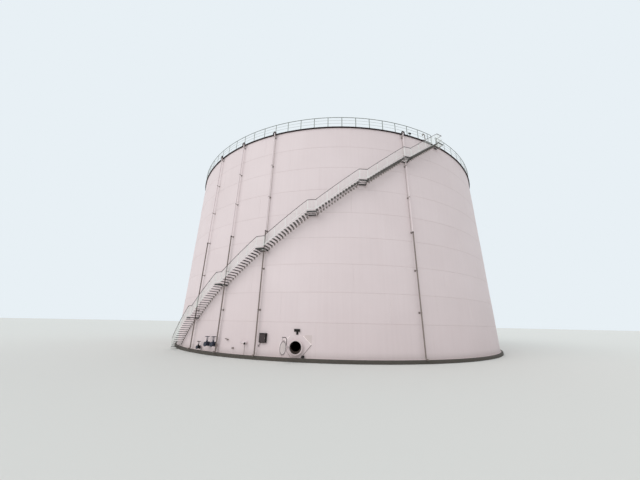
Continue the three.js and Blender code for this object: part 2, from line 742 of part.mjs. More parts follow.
addPiece('manhole_neck', manholeNeck(), 'shell_paint');
addPiece('manhole_reinforcing_plate', reinforcingPlate(), 'shell_paint');

// Manhole cover on its davit arm, drawn closed and then swung open about the arm's pin

function davitPin() {
  return new THREE.Vector3(DAVIT_X, -FACE_R - DAVIT_OUT, MANHOLE_Z);
}

function coverDisc() {
  const disc = new THREE.CylinderGeometry(COVER_R, COVER_R, COVER_T, MANHOLE_SIDES);
  disc.translate(0, -(COVER_FACE + COVER_T / 2), 0).translate(0, -FACE_R, MANHOLE_Z);
  // The lug on the cover's outer face reaches the hanger rod.
  const lugLength = DAVIT_LUG - HANGER_R - GAP;
  const lug = new THREE.BoxGeometry(60, lugLength + 4, 90);
  lug.translate(0, -FACE_R - COVER_FACE - COVER_T - (lugLength - 4) / 2, MANHOLE_Z);
  return join([toSolid(disc), toSolid(lug)]);
}

function davitArm() {
  const pin = davitPin();
  const bend = 120;
  const low = new THREE.Vector3(pin.x, pin.y, MANHOLE_Z - SLEEVE_HALF_H - 60);
  const knee = new THREE.Vector3(pin.x, pin.y, MANHOLE_Z + DAVIT_RISE);
  const tip = new THREE.Vector3(0, pin.y, MANHOLE_Z + DAVIT_RISE);
  const beforeKnee = knee.clone().setZ(knee.z - bend);
  const afterKnee = knee.clone().setX(knee.x + bend);
  const pieces = [];
  pieces.push(barAlong(low, beforeKnee, DAVIT_BAR_R, 12, 5));
  pieces.push(barAlong(beforeKnee, afterKnee, DAVIT_BAR_R, 8, 12));
  pieces.push(barAlong(afterKnee, tip.clone().setX(tip.x + 30), DAVIT_BAR_R, 8, 5));
  const hangerTop = new THREE.Vector3(0, pin.y, tip.z);
  const hangerFoot = new THREE.Vector3(0, pin.y, MANHOLE_Z - 40);
  pieces.push(barAlong(hangerTop, hangerFoot, HANGER_R, 8));
  const collar = new THREE.CylinderGeometry(SLEEVE_R, SLEEVE_R, 30, 8).rotateX(Math.PI / 2);
  collar.translate(pin.x, pin.y, MANHOLE_Z + SLEEVE_HALF_H + GAP + 15);
  pieces.push(toSolid(collar));
  return join(pieces);
}

function barAlong(from, to, radius, sides, overlap = 0) {
  const direction = to.clone().sub(from);
  const length = direction.length() + 2 * overlap;
  const bar = new THREE.CylinderGeometry(radius, radius, length, sides);
  const turn = new THREE.Quaternion().setFromUnitVectors(new THREE.Vector3(0, 1, 0), direction.normalize());
  bar.applyQuaternion(turn);
  const middle = from.clone().add(to).multiplyScalar(0.5);
  return toSolid(bar.translate(middle.x, middle.y, middle.z));
}

function swungOpen(shape) {
  const pin = davitPin();
  const geometry = shape.isBufferGeometry ? shape : toGeometry(shape);
  geometry.translate(-pin.x, -pin.y, 0);
  geometry.rotateZ(-rad(COVER_OPEN_ANGLE));
  return geometry.translate(pin.x, pin.y, 0);
}

addPiece('manhole_cover', swungOpen(coverDisc()), 'shell_paint');
addPiece('davit_arm', swungOpen(davitArm()), 'dark_paint');

// Small fittings on the bottom course

function onFacet(azimuth, width, out, low, high) {
  const bottom = SHELL_BASE_Z + low;
  const box = radialBox(WALL_REACH_R, FACE_R + out, azimuth, width, bottom, SHELL_BASE_Z + high);
  return toSolid(box).subtract(tankSpace);
}

function earthTerminal() {
  const { x, width, depth, height, lift } = EARTH_BOX;
  const box = new THREE.BoxGeometry(width, depth, height);
  const padFace = FACE_R + PAD_T + 2 * GAP;
  return box.translate(x, -padFace - depth / 2, SHELL_BASE_Z + lift + height / 2);
}

function platedStub() {
  const { azimuth, plateWidth, plateLow, plateHigh, plateT, stemWidth, stemLow, out } = PLATED_STUB;
  const plateInner = FACE_R + out - plateT;
  const plateBase = SHELL_BASE_Z + plateLow;
  const plateTop = SHELL_BASE_Z + plateHigh;
  const plate = radialBox(plateInner, FACE_R + out, azimuth, plateWidth, plateBase, plateTop);
  const stem = onFacet(azimuth, stemWidth, out - BITE, stemLow, plateLow + 2 * BITE);
  return join([toSolid(plate), stem]);
}

function sampleNozzle() {
  const { azimuth, height, half, out, turn, sideways, drainR } = SAMPLE_NOZZLE;
  const low = SHELL_BASE_Z + height - half;
  const high = SHELL_BASE_Z + height + half;
  const stub = radialBox(WALL_REACH_R, TANK_R + out, azimuth, 2 * half, low, high);
  const elbow = radialBox(TANK_R + out - 2 * half, TANK_R + out, azimuth - turn, sideways, low, high);
  const drain = uprightBar(drainR, TANK_R + out - half, azimuth, FOUNDATION_H + GAP, low + BITE);
  return join([toSolid(stub), toSolid(elbow), toSolid(drain)]).subtract(tankSpace);
}

// A nozzle with a gate valve: flanged body, bonnet, stem and handwheel
function gateValve(azimuth, height, size) {
  const z = SHELL_BASE_Z + height;
  const place = polar(TANK_R + VALVE_OUT * size, azimuth, z);
  const alongRadius = ([radius, from, to], start = TANK_R + from * size) => {
    const end = TANK_R + to * size;
    const part = new THREE.CylinderGeometry(radius * size, radius * size, end - start, 8);
    return toSolid(part.translate(0, -(start + end) / 2, 0).rotateZ(rad(azimuth)).translate(0, 0, z));
  };
  const upright = ([radius, from, to], taper = 1) => {
    const length = (to - from) * size;
    const part = new THREE.CylinderGeometry(taper * radius * size, radius * size, length, 8);
    part.rotateX(Math.PI / 2).translate(place.x, place.y, z + (from + to) / 2 * size);
    return toSolid(part);
  };
  const solids = [
    alongRadius(VALVE_BORE, WALL_REACH_R),
    ...VALVE_FLANGES.map((flange) => alongRadius(flange)),
    upright(VALVE_BONNET, 2 / 3),
    upright(VALVE_STEM),
    upright(VALVE_WHEEL),
  ];
  return join(solids).subtract(tankSpace);
}

addPiece('instrument_box', onFacet(-7.5, 650, 200, 980, 1740), 'dark_paint');
addPiece('plate_on_stub', platedStub(), 'dark_paint');
addPiece('earth_terminal', earthTerminal(), 'dark_paint');
addPiece('sample_nozzle', sampleNozzle(), 'trim_paint');
addPiece('gate_valve_1', gateValve(-23.0, 620, 280), 'valve_paint');
addPiece('gate_valve_2', gateValve(-20.7, 640, 280), 'valve_paint');
addPiece('drain_valve', gateValve(-26.7, 260, 220), 'dark_paint');

tank.scale.setScalar(MODEL_SCALE);

export default tank;
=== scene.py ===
"""A welded steel storage tank with a spiral stair, at half its real size.

Every size is that of the full-size tank in millimetres, and mm() turns it into metres of the
model. An azimuth is in degrees from -Y, positive towards +X. The manhole faces -Y."""

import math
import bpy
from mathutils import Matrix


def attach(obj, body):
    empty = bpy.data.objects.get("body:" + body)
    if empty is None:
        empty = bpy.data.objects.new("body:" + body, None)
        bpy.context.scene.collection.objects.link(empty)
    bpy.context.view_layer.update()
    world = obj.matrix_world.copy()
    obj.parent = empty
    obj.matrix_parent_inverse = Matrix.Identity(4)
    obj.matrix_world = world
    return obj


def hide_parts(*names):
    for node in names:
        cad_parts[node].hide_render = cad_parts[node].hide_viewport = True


bl_info = {
    "name": "Storage Tank",
    "version": (1, 0, 0),
    "blender": (4, 5, 0),
    "location": "3D Viewport > Sidebar > Tank",
    "description": "Builds a vertical storage tank with its stair, rails, pipes and fittings",
    "category": "Object",
}

from collections import namedtuple

import bpy
from mathutils import Matrix, Vector

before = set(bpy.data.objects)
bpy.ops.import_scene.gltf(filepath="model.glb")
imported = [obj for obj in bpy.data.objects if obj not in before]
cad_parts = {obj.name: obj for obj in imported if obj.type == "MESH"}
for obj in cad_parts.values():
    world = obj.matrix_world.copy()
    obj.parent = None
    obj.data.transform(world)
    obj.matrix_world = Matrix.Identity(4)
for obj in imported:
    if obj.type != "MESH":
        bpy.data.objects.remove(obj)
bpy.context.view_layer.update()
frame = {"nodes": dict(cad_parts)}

# Sizes that the tank's solids share

MODEL_SCALE = 0.5
# Solids that touch keep this gap.
GAP = 0.6
FACE_R = 21952.9
FOUNDATION_R = 22202.0
FOUNDATION_H = 280
BOTTOM_R = 22027
BOTTOM_T = 10
BOTTOM_COURSE_H = 2640
COURSE_H = 2415
COURSE_PLATES = [28, 25, 22, 19, 16, 13, 11, 10, 10]
SHELL_BASE_Z = 291.2
SHELL_TOP_Z = SHELL_BASE_Z + BOTTOM_COURSE_H + (len(COURSE_PLATES) - 1) * COURSE_H
# Plates in a course, whose joints move on by a third of a plate from one course to the next.
PLATES_AROUND = 15
PLATE_ANGLE = 360 / PLATES_AROUND
# How far a weld bead reaches into the plates.
BEAD_ROOT = 5

KERB_R = 22103
ROOF_EDGE_R = 22060
ROOF_R = 22012
ROOF_SLOPE = 1 / 16
ROOF_HOLE_R = 900
ROOF_PLATE = 10
# Radii at which the rings of roof plates lap, and the number of plates in each ring.
ROOF_LAPS = (1100, 5200, 10500, 16200, 22000)
ROOF_RING_PLATES = (12, 24, 36, 48)
# The box on its post and the bent vent stand at this radius.
EDGE_R = 21700
EDGE_BOX_AZIMUTH = 30.3
BENT_VENT_AZIMUTH = 36.1

RAIL_R = 22072
RAIL_HEIGHTS = [420, 800, 1180]
# Azimuth of one of the posts, and the angle from one to the next.
RAIL_POST_START = 2.28
RAIL_POST_STEP = 3.75
RAIL_POST_W = 74
# Azimuths at which the rail's four sections meet.
RAIL_JOINTS = (123.75, 213.75, 303.75)

RISER = 199.5
FLIGHT_RISERS = [16, 15, 15, 16, 16, 16, 16]
# The middles of the landings, the angle that each spans, and that from tread to tread in the lowest
# flight.
LANDING_AZIMUTHS = [-31.24, -20.6, -9.3, 2.61, 14.52, 26.43, 38.44]
LANDING_ANGLE = 1.93
LOWEST_GOING = 0.64
STAIR_OUTER_R = 22830
STRINGER_R = 22850
HANDRAIL_H = 1100
TREAD_INNER_R = 22010
TREAD_PAN_R = 22430
TREAD_WIDTH = 205
# The treads of this many of the lowest flights are darker.
DARKER_TREAD_FLIGHTS = 3
# The lowest treads stand on the ground beside the foundation and have no brackets.
GROUNDED_TREADS = 2
# A landing's grating starts this far from the shell, and the strip inside it is open for the pipes.
LANDING_STRIP = 330
# The rail that turns in from the top landing ends at this radius.
RETURN_STOP_R = 22250

PIPE_R = 57
PIPE_AXIS_R = 22225
PIPE_AZIMUTHS = [26.8, -9.0, -19.95, -30.9]
CLAMP_PITCH = 3580
CLAMPS = 6
COUPLING_Z = SHELL_BASE_Z + 10700
# The pipes beyond this azimuth have a dark strip of this height on the wall behind them: their painted
# shadow.
BARE_PIPES_UP_TO = -15
PIPE_SHADOW_STRIP_H = 11000

MANHOLE_Z = SHELL_BASE_Z + 753
MANHOLE_R = 450
NECK_R = 462
NECK_OUTSIDE = 250
FLANGE_R = 570
FLANGE_T = 25
BOLT_HOLE_R = 14
BOLT_CIRCLE = 520
BOLTS = 28
# Half of the reinforcing plate's outline, as x and height above the shell's base.
PAD_OUTLINE = ((400, 20), (1217, 966), (530, 1600))
COVER_FACE = 260
COVER_T = 20
# The davit's pin from the bore's axis and from the wall, the rise of its arm above that axis, and the
# angle by which the cover stands open.
DAVIT_X = -700
DAVIT_OUT = 330
DAVIT_RISE = 740
COVER_OPEN = 100

CABINET_AZIMUTH = -7.5
BLANK_PLATE_AZIMUTH = 0.1
SAMPLE_AZIMUTH = -11.7
# Name, azimuth, height above the shell's base, bore, finish and slot of each valve.
VALVES = (
    ("gate_valve_1", -23.0, 620, 280, "valve", "valve_paint"),
    ("gate_valve_2", -20.7, 640, 280, "valve", "valve_paint"),
    ("drain_valve", -26.7, 260, 220, "black", "dark_paint"),
)
# Azimuth, height above the shell's base and bore of each blind stub.
STUBS = ((-17.6, 1150, 55), (-17.0, 1080, 80), (-15.2, 450, 90))

CAMERA_EYE = (2.855, -21.315, 1.439)
# Heading, pitch and roll in degrees, and the lens in millimetres.
CAMERA_TURNS = (10.9, 108.4, 1.21)
CAMERA_LENS = 14.08

# Facets of what runs all the way round the tank.
FULL_SIDES = 192

Flight = namedtuple("Flight", "number risers start end landing_end going base top")


def stair_plan():
    """The flights in order, each from the end of the landing below to the landing above."""
    flights = []
    start = LANDING_AZIMUTHS[0] - LANDING_ANGLE / 2 - (FLIGHT_RISERS[0] - 1) * LOWEST_GOING
    base = 0.0
    for number, (risers, middle) in enumerate(zip(FLIGHT_RISERS, LANDING_AZIMUTHS), 1):
        end = middle - LANDING_ANGLE / 2
        landing_end = end + LANDING_ANGLE
        going = (end - start) / (risers - 1)
        top = base + risers * RISER
        flights.append(Flight(number, risers, start, end, landing_end, going, base, top))
        start = landing_end
        base = top
    return flights


FLIGHTS = stair_plan()
ENTRY_START = FLIGHTS[-1].end
ENTRY_END = FLIGHTS[-1].landing_end


def mm(size):
    """Metres of the model for a real size in millimetres."""
    return size * 0.001 * MODEL_SCALE


def per(size):
    """Scale of a pattern whose grains or streaks are that many real millimetres across."""
    return 1 / mm(size)


def spot(radius, azimuth, height):
    """The point at a distance from the tank's axis, an azimuth and a height."""
    turn = math.radians(azimuth)
    return Vector((mm(radius) * math.sin(turn), -mm(radius) * math.cos(turn), mm(height)))


def front(x, radius, height):
    """The point at x in front of the tank, a distance from its axis along -Y and a height."""
    return Vector((mm(x), -mm(radius), mm(height)))


def linear(code):
    """Linear red, green and blue of an sRGB hex colour."""
    parts = [int(code[i:i + 2], 16) / 255 for i in (1, 3, 5)]
    return [p / 12.92 if p <= 0.04045 else ((p + 0.055) / 1.055) ** 2.4 for p in parts]


# Sizes and colours that a user may change

def length(name, description, default):
    """A property for a real length in metres."""
    return bpy.props.FloatProperty(
        name=name, description=description, default=default, min=0.001, unit="LENGTH")


def colour(name, description, code):
    """A property for a colour that starts from an sRGB hex value."""
    return bpy.props.FloatVectorProperty(
        name=name, description=description, default=linear(code), subtype="COLOR", min=0, max=1)


class TankSizes(bpy.types.PropertyGroup):
    """Sizes of the full-size tank's details."""

    handrail: length("Handrail", "Diameter of the stair's handrail tube", 0.058)
    baluster: length("Baluster", "Width of the stair's upright infill bars", 0.014)
    baluster_pitch: length("Baluster pitch", "Distance between the infill bars", 0.12)
    roof_rail: length("Roof rail", "Diameter of the roof rail's top tube", 0.06)
    grating_pitch: length("Grating pitch", "Distance between the landings' bearing bars", 0.045)
    weld_width: length("Weld width", "Width of the weld beads between the plates", 0.06)
    weld_height: length("Weld height", "How far the weld beads stand proud of the plates", 0.009)


class TankColours(bpy.types.PropertyGroup):
    """Colours of the tank's paints and metals, and of the floor."""

    shell: colour("Shell", "Top coat of the shell plates", "#DDCECE")
    roof: colour("Roof", "Top coat of the roof plates", "#BDB8B4")
    kerb: colour("Kerb", "Dark band round the rim", "#392B2C")
    roof_rail: colour("Roof rail", "Paint of the roof's edge rail", "#777C75")
    steelwork: colour("Stair steel", "Weathered zinc on the stair's steelwork", "#706F6B")
    handrail: colour("Handrail", "Paint of the stair's handrail", "#5A4A4B")
    infill: colour("Infill bars", "Aluminium paint on the stair's upright bars", "#EDEFEA")
    middle_rail: colour("Middle rails", "The roof rail's two middle bars", "#C6CAC5")
    lower_pipe: colour("Lower pipe", "Pipes below their couplings", "#81746E")
    concrete: colour("Concrete", "Foundation ring", "#565049")
    valve: colour("Valves", "Enamel on the valves", "#23283A")
    black: colour("Black parts", "Black paint on the small fittings", "#15110F")
    patch: colour("Touch-up", "Fresher paint on the square beside the manhole", "#CDBDBA")
    frame: colour("Landing frames", "Darker zinc on the landings' beams and the lower treads", "#33322F")
    # The brackets' darker coat is painted shade under the treads; the same colour is the painted shadow strip
    # behind the pipes.
    bracket: colour("Brackets", "Stained paint on the treads' brackets", "#A19690")
    cover: colour("Manhole cover", "White paint on the manhole cover", "#FFF1ED")
    bolts: colour("Bolts", "Zinc on bolts and rods", "#A9A59C")
    floor: colour("Floor", "Plain floor under the tank", "#CFCDC8")


def sizes():
    return bpy.context.scene.tank_sizes


def colours():
    return bpy.context.scene.tank_colours


# Modelling by hand

def start_clean():
    """Leaves edit mode with nothing selected, so that the next operator acts on its piece alone."""
    if bpy.context.object and bpy.context.object.mode != "OBJECT":
        bpy.ops.object.mode_set(mode="OBJECT")
    bpy.ops.object.select_all(action="DESELECT")


def hold(piece):
    """Makes the piece the only one selected, and the active one."""
    start_clean()
    piece.select_set(True)
    bpy.context.view_layer.objects.active = piece
    return piece


def settle(piece):
    """Puts the piece's place, turn and scale into its mesh."""
    hold(piece)
    bpy.ops.object.transform_apply(location=True, rotation=True, scale=True)
    return piece


def opened(piece):
    """Enters edit mode with all of the piece selected."""
    hold(piece)
    bpy.ops.object.mode_set(mode="EDIT")
    bpy.ops.mesh.select_all(action="SELECT")
    return piece


def close_up():
    """Merges doubled corners, turns all faces outwards and leaves edit mode."""
    bpy.ops.mesh.select_all(action="SELECT")
    bpy.ops.mesh.remove_doubles(threshold=mm(0.1))
    bpy.ops.mesh.normals_make_consistent(inside=False)
    bpy.ops.object.mode_set(mode="OBJECT")


def turned(piece, azimuth, rise=0.0):
    """Turns a piece about the tank's axis and lifts it."""
    piece.rotation_euler.z = math.radians(azimuth)
    piece.location.z = mm(rise)
    return settle(piece)


def outward(piece, height, azimuth=0.0, x=0.0, radius=FACE_R):
    """Lays a shape that was turned about Z on its side: its height then runs outwards from the wall."""
    piece.rotation_euler.x = math.pi / 2
    piece.location = front(x, radius, height)
    return turned(settle(piece), azimuth)


def copy_of(piece):
    """A copy with a mesh of its own."""
    hold(piece)
    bpy.ops.object.duplicate()
    return bpy.context.object


def discard(*pieces):
    """Throws away tools and patterns that have done their work."""
    for piece in pieces:
        bpy.data.objects.remove(piece)


def block(width, depth, height, radius, azimuth, middle, x=0.0):
    """A plate or bar with its width along the wall, its depth along the radius and its height upright."""
    start_clean()
    size = (mm(width), mm(depth), mm(height))
    bpy.ops.mesh.primitive_cube_add(size=1, location=front(x, radius, middle), scale=size)
    return turned(settle(bpy.context.object), azimuth)


def rod(start, end, radius, sides=8):
    """A round bar from one point to another."""
    start_clean()
    along = end - start
    bpy.ops.mesh.primitive_cylinder_add(
        vertices=sides, radius=mm(radius), depth=along.length, location=(start + end) / 2,
        rotation=along.to_track_quat("Z", "Y").to_euler())
    return settle(bpy.context.object)


def flat_bar(start, end, width, thickness):
    """A flat bar between two points, its wide side upright."""
    start_clean()
    along = end - start
    bpy.ops.mesh.primitive_cube_add(
        size=1, location=(start + end) / 2, scale=(mm(thickness), mm(width), along.length),
        rotation=along.to_track_quat("Z", "Y").to_euler())
    return settle(bpy.context.object)


def lathe(profile, sides, size=1):
    """A shape turned about Z from [radius, height] points, which are multiples of the size where one is
    given. One that doesn't start on the axis is a ring."""
    hub = 0.02
    rings = [(max(radius * size, hub), height * size) for radius, height in profile]
    if profile[0][0] > 0:
        rings.append(rings[0])
    start_clean()
    bpy.ops.mesh.primitive_circle_add(
        vertices=sides, radius=mm(rings[0][0]), location=(0, 0, mm(rings[0][1])))
    piece = opened(settle(bpy.context.object))
    for (radius, height), (next_radius, next_height) in zip(rings, rings[1:]):
        bpy.ops.mesh.extrude_edges_move(TRANSFORM_OT_translate={"value": (0, 0, mm(next_height - height))})
        spread = next_radius / radius
        bpy.ops.transform.resize(value=(spread, spread, 1), center_override=(0, 0, 0))
    close_up()
    return piece


def disc(radius, low, high, sides):
    """A round plate or bar about Z."""
    return lathe([[0, low], [radius, low], [radius, high], [0, high]], sides)


def ring(inner, outer, low, high, sides=FULL_SIDES):
    """A ring of rectangular section about Z."""
    return lathe([[inner, low], [outer, low], [outer, high], [inner, high]], sides)


def swept(depth, height, radius, azimuth, middle, moves, sides=4):
    """A bar that runs round the tank: its section is extruded by (angle, rise) moves. With four sides
    it is a flat of that depth and height, and with more a tube of that diameter."""
    start_clean()
    place = {"location": spot(radius, azimuth, middle), "rotation": (0, math.pi / 2, math.radians(azimuth))}
    if sides == 4:
        bpy.ops.mesh.primitive_plane_add(size=1, **place)
        bpy.context.object.scale = (mm(height), mm(depth), 1)
    else:
        bpy.ops.mesh.primitive_circle_add(vertices=sides, radius=mm(depth / 2), fill_type="NGON", **place)
    piece = opened(settle(bpy.context.object))
    for angle, rise in moves:
        bpy.ops.mesh.extrude_region_move(TRANSFORM_OT_translate={"value": (0, 0, mm(rise))})
        bpy.ops.transform.rotate(value=-math.radians(angle), orient_axis="Z", center_override=(0, 0, 0))
    close_up()
    return piece


def bent_tube(route, radius, bend, sides, steps=5):
    """A tube along straight runs between points, with round bends at the corners between them."""
    start_clean()
    first = (route[1] - route[0]).normalized()
    bpy.ops.mesh.primitive_circle_add(
        vertices=sides, radius=mm(radius), fill_type="NGON", location=route[0],
        rotation=first.to_track_quat("Z", "Y").to_euler())
    piece = opened(settle(bpy.context.object))
    here = route[0]
    for index in range(1, len(route)):
        before = (route[index] - route[index - 1]).normalized()
        trim = 0.0
        if index + 1 < len(route):
            after = (route[index + 1] - route[index]).normalized()
            angle = before.angle(after)
            trim = mm(bend) * math.tan(angle / 2)
        run_end = route[index] - before * trim
        bpy.ops.mesh.extrude_region_move(TRANSFORM_OT_translate={"value": run_end - here})
        here = run_end
        if trim:
            axis = before.cross(after).normalized()
            centre = run_end + axis.cross(before) * mm(bend)
            bpy.ops.mesh.spin(steps=steps, angle=-angle, center=centre, axis=axis)
            here = route[index] + after * trim
    close_up()
    return piece


def pick(piece, wanted):
    """Enters edit mode with those corners selected that a test on their place keeps."""
    hold(piece)
    bpy.ops.object.mode_set(mode="EDIT")
    bpy.ops.mesh.select_mode(type="VERT")
    bpy.ops.mesh.select_all(action="DESELECT")
    bpy.ops.object.mode_set(mode="OBJECT")
    for corner in piece.data.vertices:
        corner.select = wanted(corner.co)
    bpy.ops.object.mode_set(mode="EDIT")


def moved_corners(piece, wanted, by):
    """Moves the corners that a test keeps, as when a plate is tapered."""
    pick(piece, wanted)
    bpy.ops.transform.translate(value=[mm(part) for part in by])
    bpy.ops.object.mode_set(mode="OBJECT")


def trimmed(piece, point, normal):
    """Cuts off what lies on the normal's side of a plane and closes the cut."""
    opened(piece)
    bpy.ops.mesh.bisect(plane_co=point, plane_no=normal, use_fill=True, clear_outer=True)
    bpy.ops.object.mode_set(mode="OBJECT")


def apply_to(piece, kind, **settings):
    """Adds a modifier with its settings and applies it."""
    modifier = piece.modifiers.new(kind.lower(), kind)
    for name, value in settings.items():
        setattr(modifier, name, value)
    hold(piece)
    bpy.ops.object.modifier_apply(modifier=modifier.name)
    return piece


def cut(piece, tool, operation="DIFFERENCE"):
    """Cuts the piece with a tool, which is thrown away."""
    apply_to(piece, "BOOLEAN", object=tool, operation=operation, solver="EXACT")
    discard(tool)


def eased(piece, width):
    """Takes the sharpness off a piece's edges with a small chamfer."""
    return apply_to(
        piece, "BEVEL", width=mm(width), segments=1, limit_method="ANGLE", angle_limit=math.radians(40))


def repeated(piece, count, angle, rise=0.0):
    """Repeats a piece round the tank's axis, each copy an angle further on and a rise higher."""
    start_clean()
    bpy.ops.object.empty_add(location=(0, 0, mm(rise)), rotation=(0, 0, math.radians(angle)))
    step = bpy.context.object
    apply_to(
        piece, "ARRAY", count=count, use_relative_offset=False, use_object_offset=True, offset_object=step)
    discard(step)
    return piece


def repeated_along(piece, count, offset):
    """Repeats a piece in a straight row."""
    return apply_to(
        piece, "ARRAY", count=count, use_relative_offset=False, use_constant_offset=True,
        constant_offset_displace=[mm(part) for part in offset])


def bolt_circle(piece, count, circle):
    """Repeats a small piece, modelled about Z, at a distance from Z all round it."""
    piece.location.y = -mm(circle)
    return repeated(settle(piece), count, 360 / count)


def join(pieces):
    """Makes one piece of several."""
    hold(pieces[0])
    for piece in pieces:
        piece.select_set(True)
    if len(pieces) > 1:
        bpy.ops.object.join()
    return bpy.context.object


def hand_over(pieces, name, slot, *nodes, body="tank"):
    """Joins the finished pieces, shades them, sets them on their body and hides the solids that they stand
    for.
    """
    whole = join(pieces)
    whole.name = name
    whole.data.name = name
    hold(whole)
    bpy.ops.object.shade_smooth_by_angle(angle=math.radians(35))
    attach(whole, body)
    if nodes:
        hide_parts(*nodes)


# Materials

def node(tree, kind, inputs=None, **settings):
    """Adds a node with its settings. Its inputs are given by name or number, as values or as outputs
    to link."""
    made = tree.nodes.new(kind)
    for name, value in settings.items():
        setattr(made, name, value)
    for socket, value in (inputs or {}).items():
        if isinstance(value, bpy.types.NodeSocket):
            tree.links.new(value, made.inputs[socket])
        else:
            made.inputs[socket].default_value = value
    return made


def bare_finish(name, base, roughness, metallic=0.0, ior=1.5):
    """A material with its shader's own sockets set."""
    material = bpy.data.materials.new(name)
    material.use_nodes = True
    tree = material.node_tree
    shader = tree.nodes["Principled BSDF"]
    shader.inputs["Base Color"].default_value = [*base, 1]
    shader.inputs["Roughness"].default_value = roughness
    shader.inputs["Metallic"].default_value = metallic
    shader.inputs["IOR"].default_value = ior
    return material, tree, shader


def tank_paint():
    """Polyurethane top coat sprayed on welded plate and weathered outdoors: a low sheen, plates that
    differ a little, faint rain streaks, splashed soil at the foot, and painted shade low on the wall."""
    base = colours().shell
    material, tree, shader = bare_finish("sprayed_tank_paint", base, 0.65, ior=1.4)
    place = node(tree, "ShaderNodeTexCoord").outputs["Object"]
    parts = node(tree, "ShaderNodeSeparateXYZ", {0: place})
    # Each plate is 9.2 m long and one course high, and has a tone of its own. The bottom course is a
    # little taller, so the rows are counted from its top seam, and its own foot has no seam.
    row_base = mm(SHELL_BASE_Z + BOTTOM_COURSE_H - COURSE_H)
    course = node(tree, "ShaderNodeMath", {0: parts.outputs["Z"], 1: row_base}, operation="SUBTRACT")
    course = node(tree, "ShaderNodeMath", {0: course.outputs[0], 1: mm(COURSE_H)}, operation="DIVIDE")
    course = node(tree, "ShaderNodeMath", {0: course.outputs[0], 1: 0.02}, operation="MAXIMUM")
    row = node(tree, "ShaderNodeMath", {0: course.outputs[0]}, operation="FLOOR")
    around = node(
        tree, "ShaderNodeMath", {0: parts.outputs["X"], 1: parts.outputs["Y"]}, operation="ARCTAN2")
    around = node(
        tree, "ShaderNodeMath", {0: around.outputs[0], 1: PLATES_AROUND / math.tau}, operation="MULTIPLY")
    shift = node(tree, "ShaderNodeMath", {0: row.outputs[0], 1: 1 / 3}, operation="MULTIPLY")
    plate = node(tree, "ShaderNodeMath", {0: around.outputs[0], 1: shift.outputs[0]}, operation="ADD")
    plate = node(tree, "ShaderNodeMath", {0: plate.outputs[0]}, operation="FLOOR")
    pair = node(tree, "ShaderNodeCombineXYZ", {0: plate.outputs[0], 1: row.outputs[0]})
    plate_tone = node(tree, "ShaderNodeTexWhiteNoise", {"Vector": pair.outputs[0]}, noise_dimensions="3D")
    # Rain streaks are 180 mm wide and some metres long, and cloudy chalking is 4 m across.
    tall = node(tree, "ShaderNodeMapping", {"Vector": place, "Scale": (1, 1, 0.03)})
    streaks = node(tree, "ShaderNodeTexNoise", {"Vector": tall.outputs[0], "Scale": per(180), "Detail": 5.0})
    clouds = node(tree, "ShaderNodeTexNoise", {"Vector": place, "Scale": per(4000), "Detail": 3.0})
    # A thin line of grime holds to each course seam.
    seam = node(tree, "ShaderNodeMath", {0: course.outputs[0], 1: 0.5}, operation="PINGPONG")
    # Dirt and painted shade add up from these, each over a range of its source: the plate's tone, the
    # streaks, the clouds, the seams' grime, and painted shade that darkens the lowest seven metres towards
    # the foot.
    dirt_and_shade = None
    for source, low, high, at_low, at_high in (
            (plate_tone.outputs["Value"], 0.0, 1.0, 0.0, 0.08),
            (streaks.outputs["Fac"], 0.42, 0.8, 0.0, 0.1),
            (clouds.outputs["Fac"], 0.3, 0.7, 0.0, 0.16),
            (seam.outputs[0], 0.0, 45 / COURSE_H, 0.35, 0.0),
            (parts.outputs["Z"], mm(SHELL_BASE_Z), mm(SHELL_BASE_Z + 7000), 0.32, 0.0)):
        share = node(
            tree, "ShaderNodeMapRange", {"Value": source, 1: low, 2: high, 3: at_low, 4: at_high}).outputs[0]
        if dirt_and_shade:
            share = node(tree, "ShaderNodeMath", {0: dirt_and_shade, 1: share}, operation="ADD").outputs[0]
        dirt_and_shade = share
    # The darkest colour that dirt, wear and painted shade reach.
    worn = [part * shade for part, shade in zip(base, (0.78, 0.75, 0.74))]
    paint = node(tree, "ShaderNodeMix", {0: dirt_and_shade, 6: [*base, 1], 7: [*worn, 1]}, data_type="RGBA")
    # Soil splashed up by rain over the lowest 500 mm.
    splash = node(
        tree, "ShaderNodeMapRange",
        {"Value": parts.outputs["Z"], 1: mm(SHELL_BASE_Z), 2: mm(SHELL_BASE_Z + 500), 3: 0.25, 4: 0.0})
    soil = node(
        tree, "ShaderNodeMix", {0: splash.outputs[0], 6: paint.outputs[2], 7: [*linear("#8F8378"), 1]},
        data_type="RGBA")
    tree.links.new(soil.outputs[2], shader.inputs["Base Color"])
    # Plate that has been rolled and welded is never quite flat: it swells over 2 m.
    swell = node(tree, "ShaderNodeTexNoise", {"Vector": place, "Scale": per(2000), "Detail": 1.0})
    bump = node(
        tree, "ShaderNodeBump", {"Height": swell.outputs["Fac"], "Distance": mm(6), "Strength": 0.6})
    tree.links.new(bump.outputs[0], shader.inputs["Normal"])
    return material


def mottled(finish):
    """A finish whose colour wanders between the base and a darker shade, with a fine bump."""
    base = linear(finish.colour) if finish.colour.startswith("#") else getattr(colours(), finish.colour)
    material, tree, shader = bare_finish(
        finish.material, base, finish.roughness, finish.metallic, finish.ior)
    place = node(tree, "ShaderNodeTexCoord").outputs["Object"]
    noise = node(tree, "ShaderNodeTexNoise", {"Vector": place, "Scale": per(finish.grain), "Detail": 4.0})
    dark = [part * finish.shade for part in base]
    mix = node(
        tree, "ShaderNodeMix", {0: noise.outputs["Fac"], 6: [*base, 1], 7: [*dark, 1]}, data_type="RGBA")
    tree.links.new(mix.outputs[2], shader.inputs["Base Color"])
    bump = node(
        tree, "ShaderNodeBump",
        {"Height": noise.outputs["Fac"], "Distance": mm(finish.depth), "Strength": 0.5})
    tree.links.new(bump.outputs[0], shader.inputs["Normal"])
    return material


